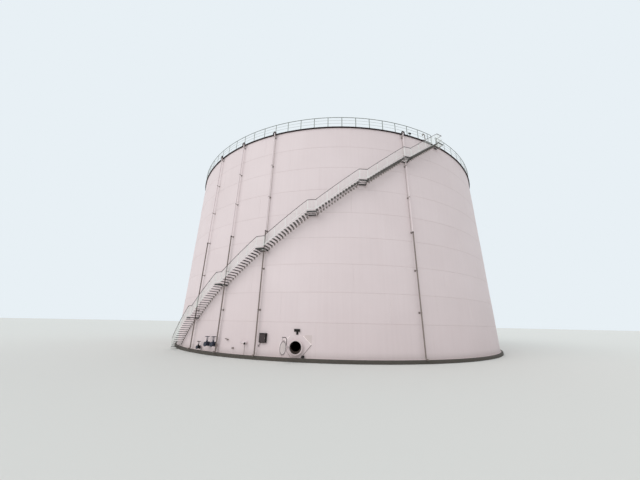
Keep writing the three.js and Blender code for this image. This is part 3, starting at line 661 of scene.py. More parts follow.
# A colour is one of the tank's colours above or an sRGB hex value. The grain is the size of the mottles
# and the depth that of the bump, in real millimetres, and the shade is how dark the mottles get.
Finish = namedtuple(
    "Finish", "material colour roughness grain depth shade metallic ior", defaults=(0.0, 1.5))
FINISHES = {
    # The shell's top coat on the roof, chalked by the sun: duller, with standing-water marks.
    "roof": Finish("chalked_roof_paint", "roof", 0.6, grain=2500, depth=2, shade=0.85),
    # Dark brown bitumen paint on the rolled kerb angle: nearly black, with a dull sheen.
    "kerb": Finish("bitumen_kerb_paint", "kerb", 0.55, grain=400, depth=1, shade=0.7),
    # Alkyd enamel brushed on the roof rail's tubes: grey-green with a soft sheen.
    "rail": Finish("brushed_rail_enamel", "roof_rail", 0.45, grain=300, depth=0.5, shade=0.85),
    # The same enamel where it is worn thin on the middle bars: paler.
    "thin rail": Finish("worn_rail_enamel", "middle_rail", 0.5, grain=300, depth=0.2, shade=0.9),
    # Hot-dip galvanised steel after years outdoors: dull dark grey, faintly clouded.
    "zinc": Finish("weathered_zinc", "steelwork", 0.65, grain=120, depth=0.5, shade=0.8, metallic=0.1),
    # Darker galvanised steel on the landings' beams and the lowest flights' treads: dull.
    "frame": Finish("damp_zinc", "frame", 0.65, grain=120, depth=0.5, shade=0.85, metallic=0.1),
    # Brownish-grey enamel on the handrail, rubbed to a low gloss.
    "handrail": Finish("rubbed_handrail_enamel", "handrail", 0.4, grain=200, depth=0.5, shade=0.85),
    # Aluminium paint on the balustrade's bars: pale, faintly green, with a soft sheen.
    "infill": Finish("aluminium_paint", "infill", 0.5, grain=100, depth=0.2, shade=0.93),
    # The shell's top coat on the upper pipes, a shade cleaner than the wall.
    "upper pipe": Finish("sprayed_pipe_paint", "shell", 0.42, grain=500, depth=0.5, shade=0.9),
    # Grey-brown primer on the lower pipes: matt, a little blotchy.
    "lower pipe": Finish("pipe_primer", "lower_pipe", 0.6, grain=250, depth=0.5, shade=0.8),
    # Cast concrete, damp and soiled: dark, rough, with pores and form marks.
    "concrete": Finish("cast_concrete", "concrete", 0.95, grain=150, depth=6, shade=0.6),
    # Dark blue machine enamel on cast iron: a clear gloss over a slightly uneven casting.
    "valve": Finish("machine_enamel", "valve", 0.3, grain=60, depth=1, shade=0.8),
    # Black paint on sheet and bar: a soft gloss.
    "black": Finish("black_paint", "black", 0.5, grain=150, depth=0.5, shade=0.8, ior=1.3),
    # Fresh white enamel on the machined cover: bright, with a clear sheen.
    "cover": Finish("white_enamel", "cover", 0.35, grain=300, depth=0.5, shade=0.93),
    # The shell's top coat brushed on later: a shade darker and pinker than the wall round it.
    "patch": Finish("touch_up_paint", "patch", 0.55, grain=600, depth=0.5, shade=0.94),
    # The shell's top coat on the brackets, darkened as painted shade under the treads; as a strip on the wall
    # it is a pipe's painted shadow.
    "bracket": Finish("stained_bracket_paint", "bracket", 0.6, grain=100, depth=0.5, shade=0.8),
    # Electroplated zinc on bolts and rods: bright metal with a satin grain, drawn coarse to show.
    "bolts": Finish("zinc_plate", "bolts", 0.35, grain=20, depth=0.2, shade=0.85, metallic=1.0),
    # Painted shade down the manhole's bore: dark brown-black.
    "inside": Finish("inside_primer", "#37322F", 0.8, grain=300, depth=1, shade=0.7),
    # Painted light in the manhole's bore: the dim brown of the tank's floor lit through the opening, rough
    # and lumpy.
    "sludge": Finish("caked_sludge", "#3D312B", 0.95, grain=90, depth=6, shade=0.7),
}
made_finishes = {}


def coated(paint, *pieces):
    """Gives each piece one finish, which is made the first time it is asked for, and lists them."""
    if paint not in made_finishes:
        made_finishes[paint] = tank_paint() if paint == "tank" else mottled(FINISHES[paint])
    for piece in pieces:
        piece.data.materials.clear()
        piece.data.materials.append(made_finishes[paint])
    return list(pieces)


# The tank itself

def radial_tool(radius, height, sides=48):
    """A round cutting tool that runs outwards through the front wall."""
    reach = 400
    return outward(disc(radius, -reach, reach, sides), height)


class TANK_OT_shell(bpy.types.Operator):
    """Builds the nine shell courses with their weld beads and the manhole's hole"""

    bl_idname = "tank.shell"
    bl_label = "Shell courses"

    def execute(self, context):
        width = sizes().weld_width * 1000
        proud = sizes().weld_height * 1000
        for number, plate in enumerate(COURSE_PLATES, 1):
            high = SHELL_BASE_Z + BOTTOM_COURSE_H + (number - 1) * COURSE_H
            low = high - COURSE_H if number > 1 else SHELL_BASE_Z
            course = ring(FACE_R - plate, FACE_R, low, high)
            nodes = [f"shell_course_{number}"]
            if number == 1:
                cut(course, radial_tool(NECK_R, MANHOLE_Z))
                nodes.append("manhole_shell_plate")
            parts = [course]
            if number < len(COURSE_PLATES):
                parts.append(lathe([
                    [FACE_R - BEAD_ROOT, high - width / 2],
                    [FACE_R + proud, high - width / 4],
                    [FACE_R + proud, high + width / 4],
                    [FACE_R - BEAD_ROOT, high + width / 2],
                ], FULL_SIDES))
            middle_r = FACE_R + (proud - BEAD_ROOT) / 2
            upright = block(width, proud + BEAD_ROOT, high - low, middle_r, 0, (low + high) / 2)
            for side in (1, -1):
                # The bead's outer face is half as wide as its root.
                moved_corners(
                    upright, lambda co: co.y < -mm(FACE_R) and co.x * side > 0, (-side * width / 4, 0, 0))
            turned(upright, PLATE_ANGLE / 2 - PLATE_ANGLE / 3 * (number % 3))
            parts.append(repeated(upright, PLATES_AROUND, PLATE_ANGLE))
            hand_over(coated("tank", *parts), f"shell_course_{number}_plates", "shell_paint", *nodes)
        return {"FINISHED"}


class TANK_OT_base(bpy.types.Operator):
    """Builds the foundation ring and the bottom plate with its fillet weld"""

    bl_idname = "tank.base"
    bl_label = "Foundation and bottom"

    def execute(self, context):
        chamfer = 30
        slab = lathe([
            [0, 0], [FOUNDATION_R, 0], [FOUNDATION_R, FOUNDATION_H - chamfer],
            [FOUNDATION_R - chamfer, FOUNDATION_H], [0, FOUNDATION_H],
        ], FULL_SIDES)
        hand_over(coated("concrete", slab), "foundation_ring", "concrete", "foundation")
        low = FOUNDATION_H + GAP
        plate = disc(BOTTOM_R, low, low + BOTTOM_T, FULL_SIDES)
        fillet = lathe([
            [FACE_R - 10, low + 9], [FACE_R + 22, low + 9], [FACE_R + 22, low + 12], [FACE_R - 10, low + 34],
        ], FULL_SIDES)
        hand_over(coated("tank", plate, fillet), "bottom_plate_and_fillet", "shell_paint", "bottom_plate")
        return {"FINISHED"}


class TANK_OT_kerb(bpy.types.Operator):
    """Builds the kerb angle round the rim"""

    bl_idname = "tank.kerb"
    bl_label = "Kerb angle"

    def execute(self, context):
        inner = FACE_R + GAP
        low, knee, lip = (SHELL_TOP_Z - drop for drop in (150, 92, 12))
        leg = ring(inner, inner + 12, low, knee)
        flange = lathe([
            [inner, knee], [inner + 13, knee], [inner + 13, SHELL_TOP_Z - 24], [inner + 24, lip],
            [KERB_R, lip], [KERB_R, SHELL_TOP_Z - GAP], [inner, SHELL_TOP_Z - GAP],
        ], FULL_SIDES)
        # A toe plate stands on the rim beside the stair's entry.
        toe = swept(14, 90, KERB_R - 20, ENTRY_START - 3.6, SHELL_TOP_Z + 44, [(0.55, 0)] * 6)
        parts = coated("tank", leg) + coated("kerb", flange, toe)
        hand_over(parts, "kerb_angle_ring", "shell_paint", "top_kerb_angle")
        return {"FINISHED"}


def roof_height(radius):
    """Height of the roof plate's underside at a distance from the axis."""
    return SHELL_TOP_Z + GAP + (ROOF_EDGE_R - radius) * ROOF_SLOPE


class TANK_OT_roof(bpy.types.Operator):
    """Builds the cone roof with its lapped plates, the centre vent and the fittings near its edge"""

    bl_idname = "tank.roof"
    bl_label = "Roof"

    def execute(self, context):
        inner = roof_height(ROOF_HOLE_R)
        outer = roof_height(ROOF_R)
        parts = [lathe([
            [ROOF_HOLE_R, inner], [ROOF_R, outer], [ROOF_R, outer + ROOF_PLATE],
            [ROOF_HOLE_R, inner + ROOF_PLATE],
        ], FULL_SIDES)]
        # The lap joints between the roof plates are rings and rays of 40 mm strips.
        for radius in ROOF_LAPS[1:-1]:
            step = roof_height(radius) + 8
            parts.append(lathe([
                [radius - 20, step], [radius + 20, step - 2], [radius + 20, step + 8],
                [radius - 20, step + 10],
            ], FULL_SIDES // 2))
        for low_r, high_r, count in zip(ROOF_LAPS, ROOF_LAPS[1:], ROOF_RING_PLATES):
            ends = [spot(radius, 0, roof_height(radius) + 12) for radius in (low_r, high_r)]
            ray = turned(flat_bar(*ends, 12, 40), 180 / count)
            parts.append(repeated(ray, count, 360 / count))
        sectors = [f"roof_sector_{index}" for index in range(1, 5)]
        hand_over(coated("roof", *parts), "roof_plates", "roof_paint", *sectors)
        self.build_cap()
        self.build_edge_box()
        self.build_bent_vent()
        return {"FINISHED"}

    def build_cap(self):
        """The centre cap with a mushroom vent, whose hood stands clear of its neck."""
        base = roof_height(ROOF_HOLE_R) + 11
        cap = lathe([
            [0, base], [ROOF_HOLE_R, base], [1090, base - 10], [1090, base + 20], [800, base + 40],
            [190, base + 60], [190, base + 330], [0, base + 330],
        ], 48)
        hood = lathe([
            [0, base + 340], [210, base + 340], [255, base + 300], [260, base + 310], [260, base + 470],
            [200, base + 540], [100, base + 580], [0, base + 590],
        ], 32)
        stay = repeated(block(12, 60, 120, 190, 0, base + 330), 6, 60)
        hand_over(coated("roof", cap, hood, stay), "centre_cap_and_vent", "roof_paint", "roof_centre_cap")

    def build_edge_box(self):
        """A small box on a post, as for a level gauge's head."""
        foot = roof_height(EDGE_R) + 11
        box = eased(block(300, 150, 130, EDGE_R, 0, SHELL_TOP_Z + 730), 8)
        post = rod(spot(EDGE_R, 0, foot), spot(EDGE_R, 0, SHELL_TOP_Z + 670), 28, 12)
        shoe = eased(block(140, 140, 14, EDGE_R, 0, foot + 6), 3)
        parts = [turned(part, EDGE_BOX_AZIMUTH) for part in (box, post, shoe)]
        hand_over(coated("black", *parts), "edge_box_on_post", "dark_paint", "roof_edge_box")

    def build_bent_vent(self):
        """A vent pipe bent over at its top, on a flanged foot."""
        foot = roof_height(EDGE_R) + 11
        left, top = -340, SHELL_TOP_Z + 1370
        corners = ((0, foot), (0, top), (left, top), (left, top - 290))
        pipe = bent_tube([front(x, EDGE_R, z) for x, z in corners], 45, 169, 14, 8)
        flange = disc(95, foot, foot + 16, 20)
        flange.location.y = -mm(EDGE_R)
        mouth = rod(front(left, EDGE_R, top - 300), front(left, EDGE_R, top - 270), 56, 14)
        parts = [turned(part, BENT_VENT_AZIMUTH) for part in (pipe, settle(flange), mouth)]
        hand_over(coated("lower pipe", *parts), "bent_vent_pipe", "trim_paint", "roof_bent_vent")


class TANK_OT_roof_rail(bpy.types.Operator):
    """Builds the roof's edge rail in four sections, open where the stair arrives"""

    bl_idname = "tank.roof_rail"
    bl_label = "Roof rail"

    def execute(self, context):
        tube = sizes().roof_rail * 1000
        ends = [ENTRY_END, *RAIL_JOINTS, 360 + ENTRY_START]
        for number, (low, high) in enumerate(zip(ends, ends[1:]), 1):
            steps = round((high - low) / (RAIL_POST_STEP / 2))
            moves = [((high - low) / steps, 0)] * steps
            top, *middles = (
                swept(width, width, RAIL_R, low, SHELL_TOP_Z + rise, moves, sides=6)
                for width, rise in zip((tube, tube / 2, tube / 2), reversed(RAIL_HEIGHTS)))
            first = RAIL_POST_START + math.ceil((low - RAIL_POST_START) / RAIL_POST_STEP) * RAIL_POST_STEP
            places = [(first, int((high - first) / RAIL_POST_STEP) + 1, RAIL_POST_STEP)]
            # A post stands at each side of the stair's entry too.
            if low == ends[0]:
                places.append((low, 1, 0))
            if high == ends[-1]:
                places.append((high, 1, 0))
            dark = [top]
            for azimuth, count, step in places:
                post = block(RAIL_POST_W, 14, 1170, RAIL_R, azimuth, SHELL_TOP_Z + 585)
                shoe = block(110, 58, 12, RAIL_R - 2, azimuth, SHELL_TOP_Z + 6)
                dark += [repeated(post, count, step), repeated(shoe, count, step)]
            parts = coated("rail", *dark) + coated("thin rail", *middles)
            hand_over(parts, f"roof_rail_{number}_tubes", "trim_paint", f"roof_rail_{number}")
        return {"FINISHED"}


# The stair

def model_tread():
    """One tread: a folded pan on its outer half and open bars towards the wall. Its top is at height 0."""
    outer = STAIR_OUTER_R - 5
    depth = outer - TREAD_PAN_R
    pan = block(TREAD_WIDTH, depth, 40, outer - depth / 2, 0, -20)
    pick(pan, lambda co: co.z < mm(-30))
    bpy.ops.mesh.inset(thickness=mm(8))
    bpy.ops.mesh.extrude_region_move(TRANSFORM_OT_translate={"value": (0, 0, mm(14))})
    close_up()
    nosing = block(34, depth - 20, 10, outer - depth / 2, 0, 3, x=21 - TREAD_WIDTH / 2)
    reach = TREAD_PAN_R - TREAD_INNER_R + 10
    middle = TREAD_INNER_R + reach / 2
    side = block(12, reach, 36, middle, 0, -20, x=6 - TREAD_WIDTH / 2)
    sides = repeated_along(side, 2, (TREAD_WIDTH - 12, 0, 0))
    bars = repeated_along(block(7, reach, 25, middle, 0, -14, x=-60), 5, (30, 0, 0))
    cross_rod = block(TREAD_WIDTH - 12, 8, 8, middle, 0, -8)
    return join([pan, nosing, sides, bars, cross_rod])


def model_bracket():
    """The bracket that holds a tread's inner end on the wall: a plate with a ledge, a rib and two bolts."""
    plate = eased(block(130, 16, 190, FACE_R + 7, 0, -105), 3)
    ledge = block(180, TREAD_INNER_R - FACE_R + 25, 14, (TREAD_INNER_R + FACE_R + 15) / 2, 0, -46)
    rib = block(14, 70, 70, FACE_R + 45, 0, -85)
    bolts = [
        rod(spot(FACE_R + 10, azimuth, -165), spot(FACE_R + 34, azimuth, -165), 12, 6)
        for azimuth in (-0.11, 0.11)]
    return join([plate, ledge, rib, *bolts])


def stair_steps(flight, rise):
    """Equal (angle, rise) moves along a flight."""
    count = 8
    return [((flight.end - flight.start) / count, rise / count)] * count


def landing_parts(flight):
    """The landing above a flight: dark frame, open grating, a pale collar round a pipe, and wall brackets."""
    inner, outer = FACE_R + 25, STAIR_OUTER_R
    middle, span = (inner + outer) / 2, outer - inner
    start, end = flight.end - 0.12, flight.landing_end + 0.2
    angle = end - start
    level = [(angle / 3, 0)] * 3
    open_to = FACE_R + LANDING_STRIP
    beams = [
        swept(90, 90, FACE_R + 75, start, flight.top - 57, level),
        swept(14, 50, open_to, start, flight.top - 25, level),
        swept(10, 140, outer - 5, start, flight.top - 50, level),
    ]
    for azimuth in (start + 0.02, end - 0.02):
        beams.append(block(14, span, 70, middle, azimuth, flight.top - 36))
    pitch = math.degrees(sizes().grating_pitch * 1000 / middle)
    count = int((angle - 0.1) / pitch)
    bar = block(6, outer - open_to, 20, (outer + open_to) / 2, start + 0.05, flight.top - 16)
    grating = [repeated(bar, count + 1, (angle - 0.1) / count)]
    for index in range(1, 5):
        grating.append(swept(8, 8, open_to + (outer - open_to) * index / 5, start, flight.top - 6, level))
    brackets = []
    for azimuth in (start + 0.1, end - 0.1):
        stay_top = spot(STAIR_OUTER_R - 300, azimuth, flight.top - 120)
        stay_foot = spot(FACE_R + 20, azimuth, flight.top - 330)
        brackets.append(flat_bar(stay_top, stay_foot, 14, 50))
        brackets.append(block(90, 16, 330, FACE_R + 8, azimuth, flight.top - 230))
    # The top landing's grating is painted pale.
    grating_paint = "infill" if flight is FLIGHTS[-1] else "zinc"
    parts = coated("frame", join(beams)) + coated(grating_paint, join(grating))
    for pipe in PIPE_AZIMUTHS:
        if flight.end < pipe < flight.landing_end:
            for part in parts:
                cut(part, block(240, 240, 600, PIPE_AXIS_R, pipe, flight.top))
            for side in (-1, 1):
                cheek = block(8, 256, 60, PIPE_AXIS_R, pipe + side * 0.31, flight.top - 30)
                face = block(248, 8, 60, PIPE_AXIS_R + side * 124, pipe, flight.top - 30)
                parts += coated("infill", cheek, face)
    return parts + coated("tank", *brackets)


class TANK_OT_stair(bpy.types.Operator):
    """Builds the seven stair flights: treads on wall brackets, outer stringer and landing"""

    bl_idname = "tank.stair"
    bl_label = "Stair flights"

    def execute(self, context):
        tread, = coated("zinc", model_tread())
        # The brackets' finish is darkened as painted shade under the treads.
        arm, = coated("bracket", model_bracket())
        for flight in FLIGHTS:
            grounded = GROUNDED_TREADS if flight.base == 0 else 0
            parts = []
            for pattern, skipped in ((tread, 0), (arm, grounded)):
                azimuth = flight.start + (0.5 + skipped) * flight.going
                one = turned(copy_of(pattern), azimuth, flight.base + (1 + skipped) * RISER)
                if pattern is tread and flight.number <= DARKER_TREAD_FLIGHTS:
                    coated("frame", one)
                parts.append(repeated(one, flight.risers - 1 - skipped, flight.going, RISER))
            moves = stair_steps(flight, (flight.risers - 1) * RISER)
            edge = [swept(12, 32, STRINGER_R - 10, flight.start, flight.base + RISER - 32, moves)]
            if flight.base == 0:
                edge.append(block(80, 40, RISER, STRINGER_R - 5, flight.start + 0.1, RISER / 2))
            parts += coated("infill", *edge) + landing_parts(flight)
            name = f"stair_flight_{flight.number}"
            hand_over(parts, f"{name}_steelwork", "galvanised", name)
        discard(tread, arm)
        return {"FINISHED"}


class TANK_OT_balustrade(bpy.types.Operator):
    """Builds the stair's outer handrail with its posts, bottom rail and upright bars"""

    bl_idname = "tank.balustrade"
    bl_label = "Stair balustrade"

    def execute(self, context):
        tube = sizes().handrail * 1000
        bar = sizes().baluster * 1000
        pitch = math.degrees(sizes().baluster_pitch * 1000 / STRINGER_R)
        for flight in FLIGHTS:
            # The handrail climbs from the landing below without a step.
            rise = flight.risers * RISER
            climb = flight.end - flight.start
            moves = stair_steps(flight, rise) + [(LANDING_ANGLE / 2, 0)] * 2
            rail = swept(tube, tube, STRINGER_R, flight.start, flight.base + HANDRAIL_H, moves, sides=8)
            low = swept(10, 24, STRINGER_R, flight.start, flight.base + 240, moves)
            count = round(climb / pitch)
            middle = flight.base + HANDRAIL_H / 2 + 90
            upright = block(bar, bar, HANDRAIL_H - 210, STRINGER_R, flight.start, middle)
            bars = [low, repeated(upright, count, climb / count, rise / count)]
            on_landing = round(LANDING_ANGLE / pitch)
            upright = block(bar, bar, HANDRAIL_H - 30, STRINGER_R, flight.end, flight.top + HANDRAIL_H / 2)
            bars.append(repeated(upright, on_landing, LANDING_ANGLE / on_landing))
            stretches = 4
            post = block(20, 30, HANDRAIL_H - 60, STRINGER_R, flight.start + 0.1, middle + 50)
            bars.append(repeated(post, stretches + 1, climb / stretches, rise / stretches))
            knob = block(34, 40, 60, STRINGER_R, flight.start + 0.1, flight.base + HANDRAIL_H - 40)
            knobs = repeated(knob, stretches + 1, climb / stretches, rise / stretches)
            parts = coated("handrail", rail, knobs)
            if flight is FLIGHTS[-1]:
                parts += coated("handrail", *self.top_return(flight, tube))
            name = f"stair_balustrade_{flight.number}"
            hand_over(parts + coated("infill", *bars), f"{name}_rails", "trim_paint", name)
        return {"FINISHED"}

    def top_return(self, flight, tube):
        """The rail that turns in from the top landing's end towards the roof."""
        azimuth = flight.landing_end - 0.2
        parts = []
        for rise in (HANDRAIL_H, HANDRAIL_H / 2):
            ends = [spot(radius, azimuth, flight.top + rise) for radius in (RETURN_STOP_R, STRINGER_R)]
            parts.append(rod(*ends, tube / 2))
        post = block(30, 30, HANDRAIL_H, RETURN_STOP_R + 22, azimuth, flight.top + HANDRAIL_H / 2)
        return parts + [post]


class TANK_OT_downpipes(bpy.types.Operator):
    """Builds the four downpipes with couplings, clamps, rim arches, feet and the painted shadow strips behind
    them
    """

    bl_idname = "tank.downpipes"
    bl_label = "Downpipes"

    def execute(self, context):
        ends = [spot(PIPE_AXIS_R, 0, height) for height in (COUPLING_Z, SHELL_TOP_Z - 20)]
        patterns = {
            "upper pipe": rod(*ends, PIPE_R, 20),
            "lower pipe": self.lower_half(),
            "kerb": self.black_parts(),
        }
        for number, azimuth in enumerate(PIPE_AZIMUTHS, 1):
            parts = []
            for paint, pattern in patterns.items():
                parts += coated(paint, turned(copy_of(pattern), azimuth))
            # A dark strip on the wall right behind the pipe is its painted shadow.
            if azimuth > BARE_PIPES_UP_TO:
                middle = SHELL_TOP_Z - 180 - PIPE_SHADOW_STRIP_H / 2
                parts += coated("bracket", block(28, 14, PIPE_SHADOW_STRIP_H, FACE_R + 6, azimuth, middle))
            hand_over(parts, f"downpipe_{number}_tube", "trim_paint", f"downpipe_{number}")
        discard(*patterns.values())
        return {"FINISHED"}

    def lower_half(self):
        """The pipe below its coupling with the elbow at its foot, and the clamps with their wall plates."""
        low = FOUNDATION_H + GAP + 300
        lower = rod(spot(PIPE_AXIS_R, 0, low), spot(PIPE_AXIS_R, 0, COUPLING_Z), PIPE_R, 20)
        bend = FOUNDATION_H + GAP + PIPE_R + 4
        foot = bent_tube([
            spot(PIPE_AXIS_R, 0, bend + 320), spot(PIPE_AXIS_R, 0, bend), spot(PIPE_AXIS_R + 240, 0, bend),
        ], PIPE_R + 4, 110, 16)
        parts = [lower, foot]
        for number in range(1, CLAMPS + 1):
            height = SHELL_BASE_Z + number * CLAMP_PITCH
            band = ring(PIPE_R - 2, PIPE_R + 12, height - 30, height + 30, 20)
            band.location.y = -mm(PIPE_AXIS_R)
            arm_reach = PIPE_AXIS_R - FACE_R - PIPE_R
            arm = block(14, arm_reach, 60, (PIPE_AXIS_R + FACE_R - PIPE_R) / 2, 0, height)
            plate = eased(block(170, 12, 170, FACE_R + 6, 0, height), 3)
            ears = block(170, 24, 50, PIPE_AXIS_R, 0, height)
            parts += [settle(band), arm, plate, ears]
        return join(parts)

    def black_parts(self):
        """The coupling ring, and the arch that stands over the pipe's head at the rim."""
        ends = [spot(PIPE_AXIS_R, 0, COUPLING_Z + side * 50) for side in (-1, 1)]
        coupling = rod(*ends, PIPE_R + 16, 20)
        half = 146
        corners = ((-half, -200), (-half, half - 40), (half, half - 40), (half, -200))
        route = [front(x, PIPE_AXIS_R + 34, SHELL_TOP_Z + z) for x, z in corners]
        arch = bent_tube(route, 64, half - 2, 10, 6)
        foot = block(2 * half, 25, 50, PIPE_AXIS_R - PIPE_R - 14, 0, SHELL_TOP_Z - 175)
        return join([coupling, arch, foot])


# The manhole

def swung(piece):
    """Swings a piece of the closed cover or its arm open about the davit's pin."""
    pin = front(DAVIT_X, FACE_R + DAVIT_OUT, 0)
    turn = Matrix.Rotation(-math.radians(COVER_OPEN), 4, "Z")
    piece.matrix_world = Matrix.Translation(pin) @ turn @ Matrix.Translation(-pin) @ piece.matrix_world
    return settle(piece)


class TANK_OT_manhole(bpy.types.Operator):
    """Builds the open manhole: neck, flange, six-sided plate, and the cover on its davit arm"""

    bl_idname = "tank.manhole"
    bl_label = "Manhole"

    def execute(self, context):
        self.build_neck()
        self.build_pad()
        self.build_cover()
        self.build_arm()
        return {"FINISHED"}

    def build_neck(self):
        """The neck with its bolted flange, the davit's sleeve, and what lines the bore."""
        out, edge = NECK_OUTSIDE, 4
        neck = lathe([
            [MANHOLE_R, -88], [NECK_R, -88], [NECK_R, out - 45], [NECK_R + 12, out - FLANGE_T],
            [FLANGE_R - edge, out - FLANGE_T], [FLANGE_R, out - FLANGE_T + edge], [FLANGE_R, out - edge],
            [FLANGE_R - edge, out], [MANHOLE_R + edge, out], [MANHOLE_R, out - edge],
        ], 64)
        holes = disc(BOLT_HOLE_R, out - 60, out + 60, 12)
        cut(neck, bolt_circle(holes, BOLTS, BOLT_CIRCLE))
        outward(neck, MANHOLE_Z)
        web = block(170, FLANGE_T, 120, FACE_R + out - FLANGE_T / 2, 0, MANHOLE_Z, x=-615)
        arm = block(24, DAVIT_OUT - out + 25, 120, FACE_R + 278, 0, MANHOLE_Z, x=DAVIT_X)
        sleeve = lathe([[26.4, -150], [38, -150], [42, -146], [42, 146], [38, 150], [26.4, 150]], 24)
        sleeve.location = front(DAVIT_X, FACE_R + DAVIT_OUT, MANHOLE_Z)
        ends = [front(DAVIT_X, FACE_R + DAVIT_OUT, MANHOLE_Z + side * 200) for side in (-1, 1)]
        cut(arm, rod(*ends, 30, 16))
        parts = coated("tank", neck, web, arm, settle(sleeve))
        # Painted shade lining the bore, and the gasket that stays on the flange.
        liner = ring(MANHOLE_R - 4, MANHOLE_R + 2, -87, out - 6, 64)
        gasket = ring(MANHOLE_R, MANHOLE_R + 28, out - 2, out + 3, 64)
        parts += coated("inside", outward(liner, MANHOLE_Z)) + coated("black", outward(gasket, MANHOLE_Z))
        # A brown crescent in the lower half of the bore is painted light: the tank's floor lit through the
        # opening.
        sludge = outward(disc(MANHOLE_R - 3, out - 60, out - 40, 48), MANHOLE_Z)
        cut(sludge, radial_tool(420, MANHOLE_Z + 128))
        parts += coated("sludge", sludge)
        hand_over(parts, "manhole_neck_and_flange", "shell_paint", "manhole_neck")

    def build_pad(self):
        """The six-sided reinforcing plate, rolled to the shell's curve: a ring cut by a prism."""
        foot, knee, head = [(x, SHELL_BASE_Z + height) for x, height in PAD_OUTLINE]
        low, high = foot[1], head[1]
        pad = ring(FACE_R + GAP, FACE_R + 32, low, high, 2 * FULL_SIDES)
        prism = block(2 * knee[0], 400, high - low + 100, FACE_R, 0, (low + high) / 2)
        for side in (-1, 1):
            for (x, z), (next_x, next_z) in ((foot, knee), (knee, head)):
                edge = Vector((side * (next_x - x), 0, next_z - z))
                normal = Vector((edge.z, 0, -edge.x)).normalized() * side
                trimmed(prism, (mm(side * x), 0, mm(z)), normal)
        cut(pad, prism, "INTERSECT")
        cut(pad, radial_tool(NECK_R + 1, MANHOLE_Z, 64))
        parts = coated("tank", eased(pad, 4))
        # The fillet weld round the plate carries painted light: a white painted highlight along its upper
        # edges and a dark painted shadow along its lower edges.
        seat = FACE_R + 16
        corners = [foot, knee, head] + [(-x, z) for x, z in (head, knee, foot)]
        points = [front(x, math.sqrt(seat ** 2 - x ** 2), z) for x, z in corners]
        paints = ("lower pipe", "cover", "tank", "cover", "lower pipe")
        for point, following, paint in zip(points, points[1:], paints):
            parts += coated(paint, rod(point, following, 22))
        hand_over(parts, "manhole_pad", "shell_paint", "manhole_reinforcing_plate")

    def build_cover(self):
        """The round cover with its rim, bolt holes, centre ring, handles and hanging lug."""
        outer, edge = COVER_FACE + COVER_T, 3
        cover = lathe([
            [0, COVER_FACE], [FLANGE_R - edge, COVER_FACE], [FLANGE_R, COVER_FACE + edge],
            [FLANGE_R, outer - edge], [FLANGE_R - edge, outer], [190, outer], [186, outer + 6],
            [150, outer + 6], [146, outer], [0, outer],
        ], 64)
        holes = disc(BOLT_HOLE_R, COVER_FACE - 60, outer + 120, 12)
        cut(cover, bolt_circle(holes, BOLTS, BOLT_CIRCLE))
        outward(cover, MANHOLE_Z)
        parts = [cover, eased(block(60, 36, 90, FACE_R + outer + 14, 0, MANHOLE_Z), 4)]
        for x in (-330, 330):
            corners = ((outer - 2, -80), (outer + 70, -80), (outer + 70, 80), (outer - 2, 80))
            route = [front(x, FACE_R + out, MANHOLE_Z + z) for out, z in corners]
            parts.append(bent_tube(route, 10, 30, 8, 3))
        parts = coated("cover", *(swung(part) for part in parts))
        # The face that meets the gasket keeps a dark ring, with the tank's paint outside it.
        for inner_r, outer_r, paint in ((430, 462, "kerb"), (462, FLANGE_R - 2, "tank")):
            seat = ring(inner_r, outer_r, COVER_FACE - 3, COVER_FACE + 1, 64)
            parts += coated(paint, swung(outward(seat, MANHOLE_Z)))
        hand_over(parts, "manhole_cover_disc", "shell_paint", "manhole_cover", body="manhole_cover")

    def build_arm(self):
        """The bent davit arm with its hanger, nut and thrust collar."""
        out = FACE_R + DAVIT_OUT
        corners = ((DAVIT_X, -210), (DAVIT_X, DAVIT_RISE), (30, DAVIT_RISE))
        arm = bent_tube([front(x, out, MANHOLE_Z + z) for x, z in corners], 25, 330, 16, 8)
        # The straight round parts, each by its x, its two ends, its radius and its sides.
        rounds = [
            rod(front(x, out, MANHOLE_Z + low), front(x, out, MANHOLE_Z + high), radius, sides)
            for x, low, high, radius, sides in (
                (0, DAVIT_RISE + 60, -40, 16, 12),
                (0, DAVIT_RISE + 26, DAVIT_RISE + 52, 30, 6),
                (DAVIT_X, 151, 181, 42, 20))]
        hanger, nut, collar = (swung(part) for part in rounds)
        parts = coated("black", swung(arm), collar) + coated("bolts", hanger, nut)
        hand_over(parts, "davit_arm_and_hanger", "dark_paint", "davit_arm", body="manhole_cover")


# Valves and small fittings

def nozzle(bore, length_out):
    """A pipe stub with its wall collar, lying outwards."""
    return lathe([
        [0, -60], [0.62 * bore, -60], [0.62 * bore, 18], [0.42 * bore, 30], [0.42 * bore, length_out],
        [0, length_out],
    ], 24)


def flange_with_bolts(bore, low, high):
    """A flange with a ring of bolts, lying outwards."""
    bolts = bolt_circle(disc(11, low - 14, high + 14, 6), 12, 0.6 * bore)
    return coated("valve", disc(0.72 * bore, low, high, 24)) + coated("bolts", bolts)


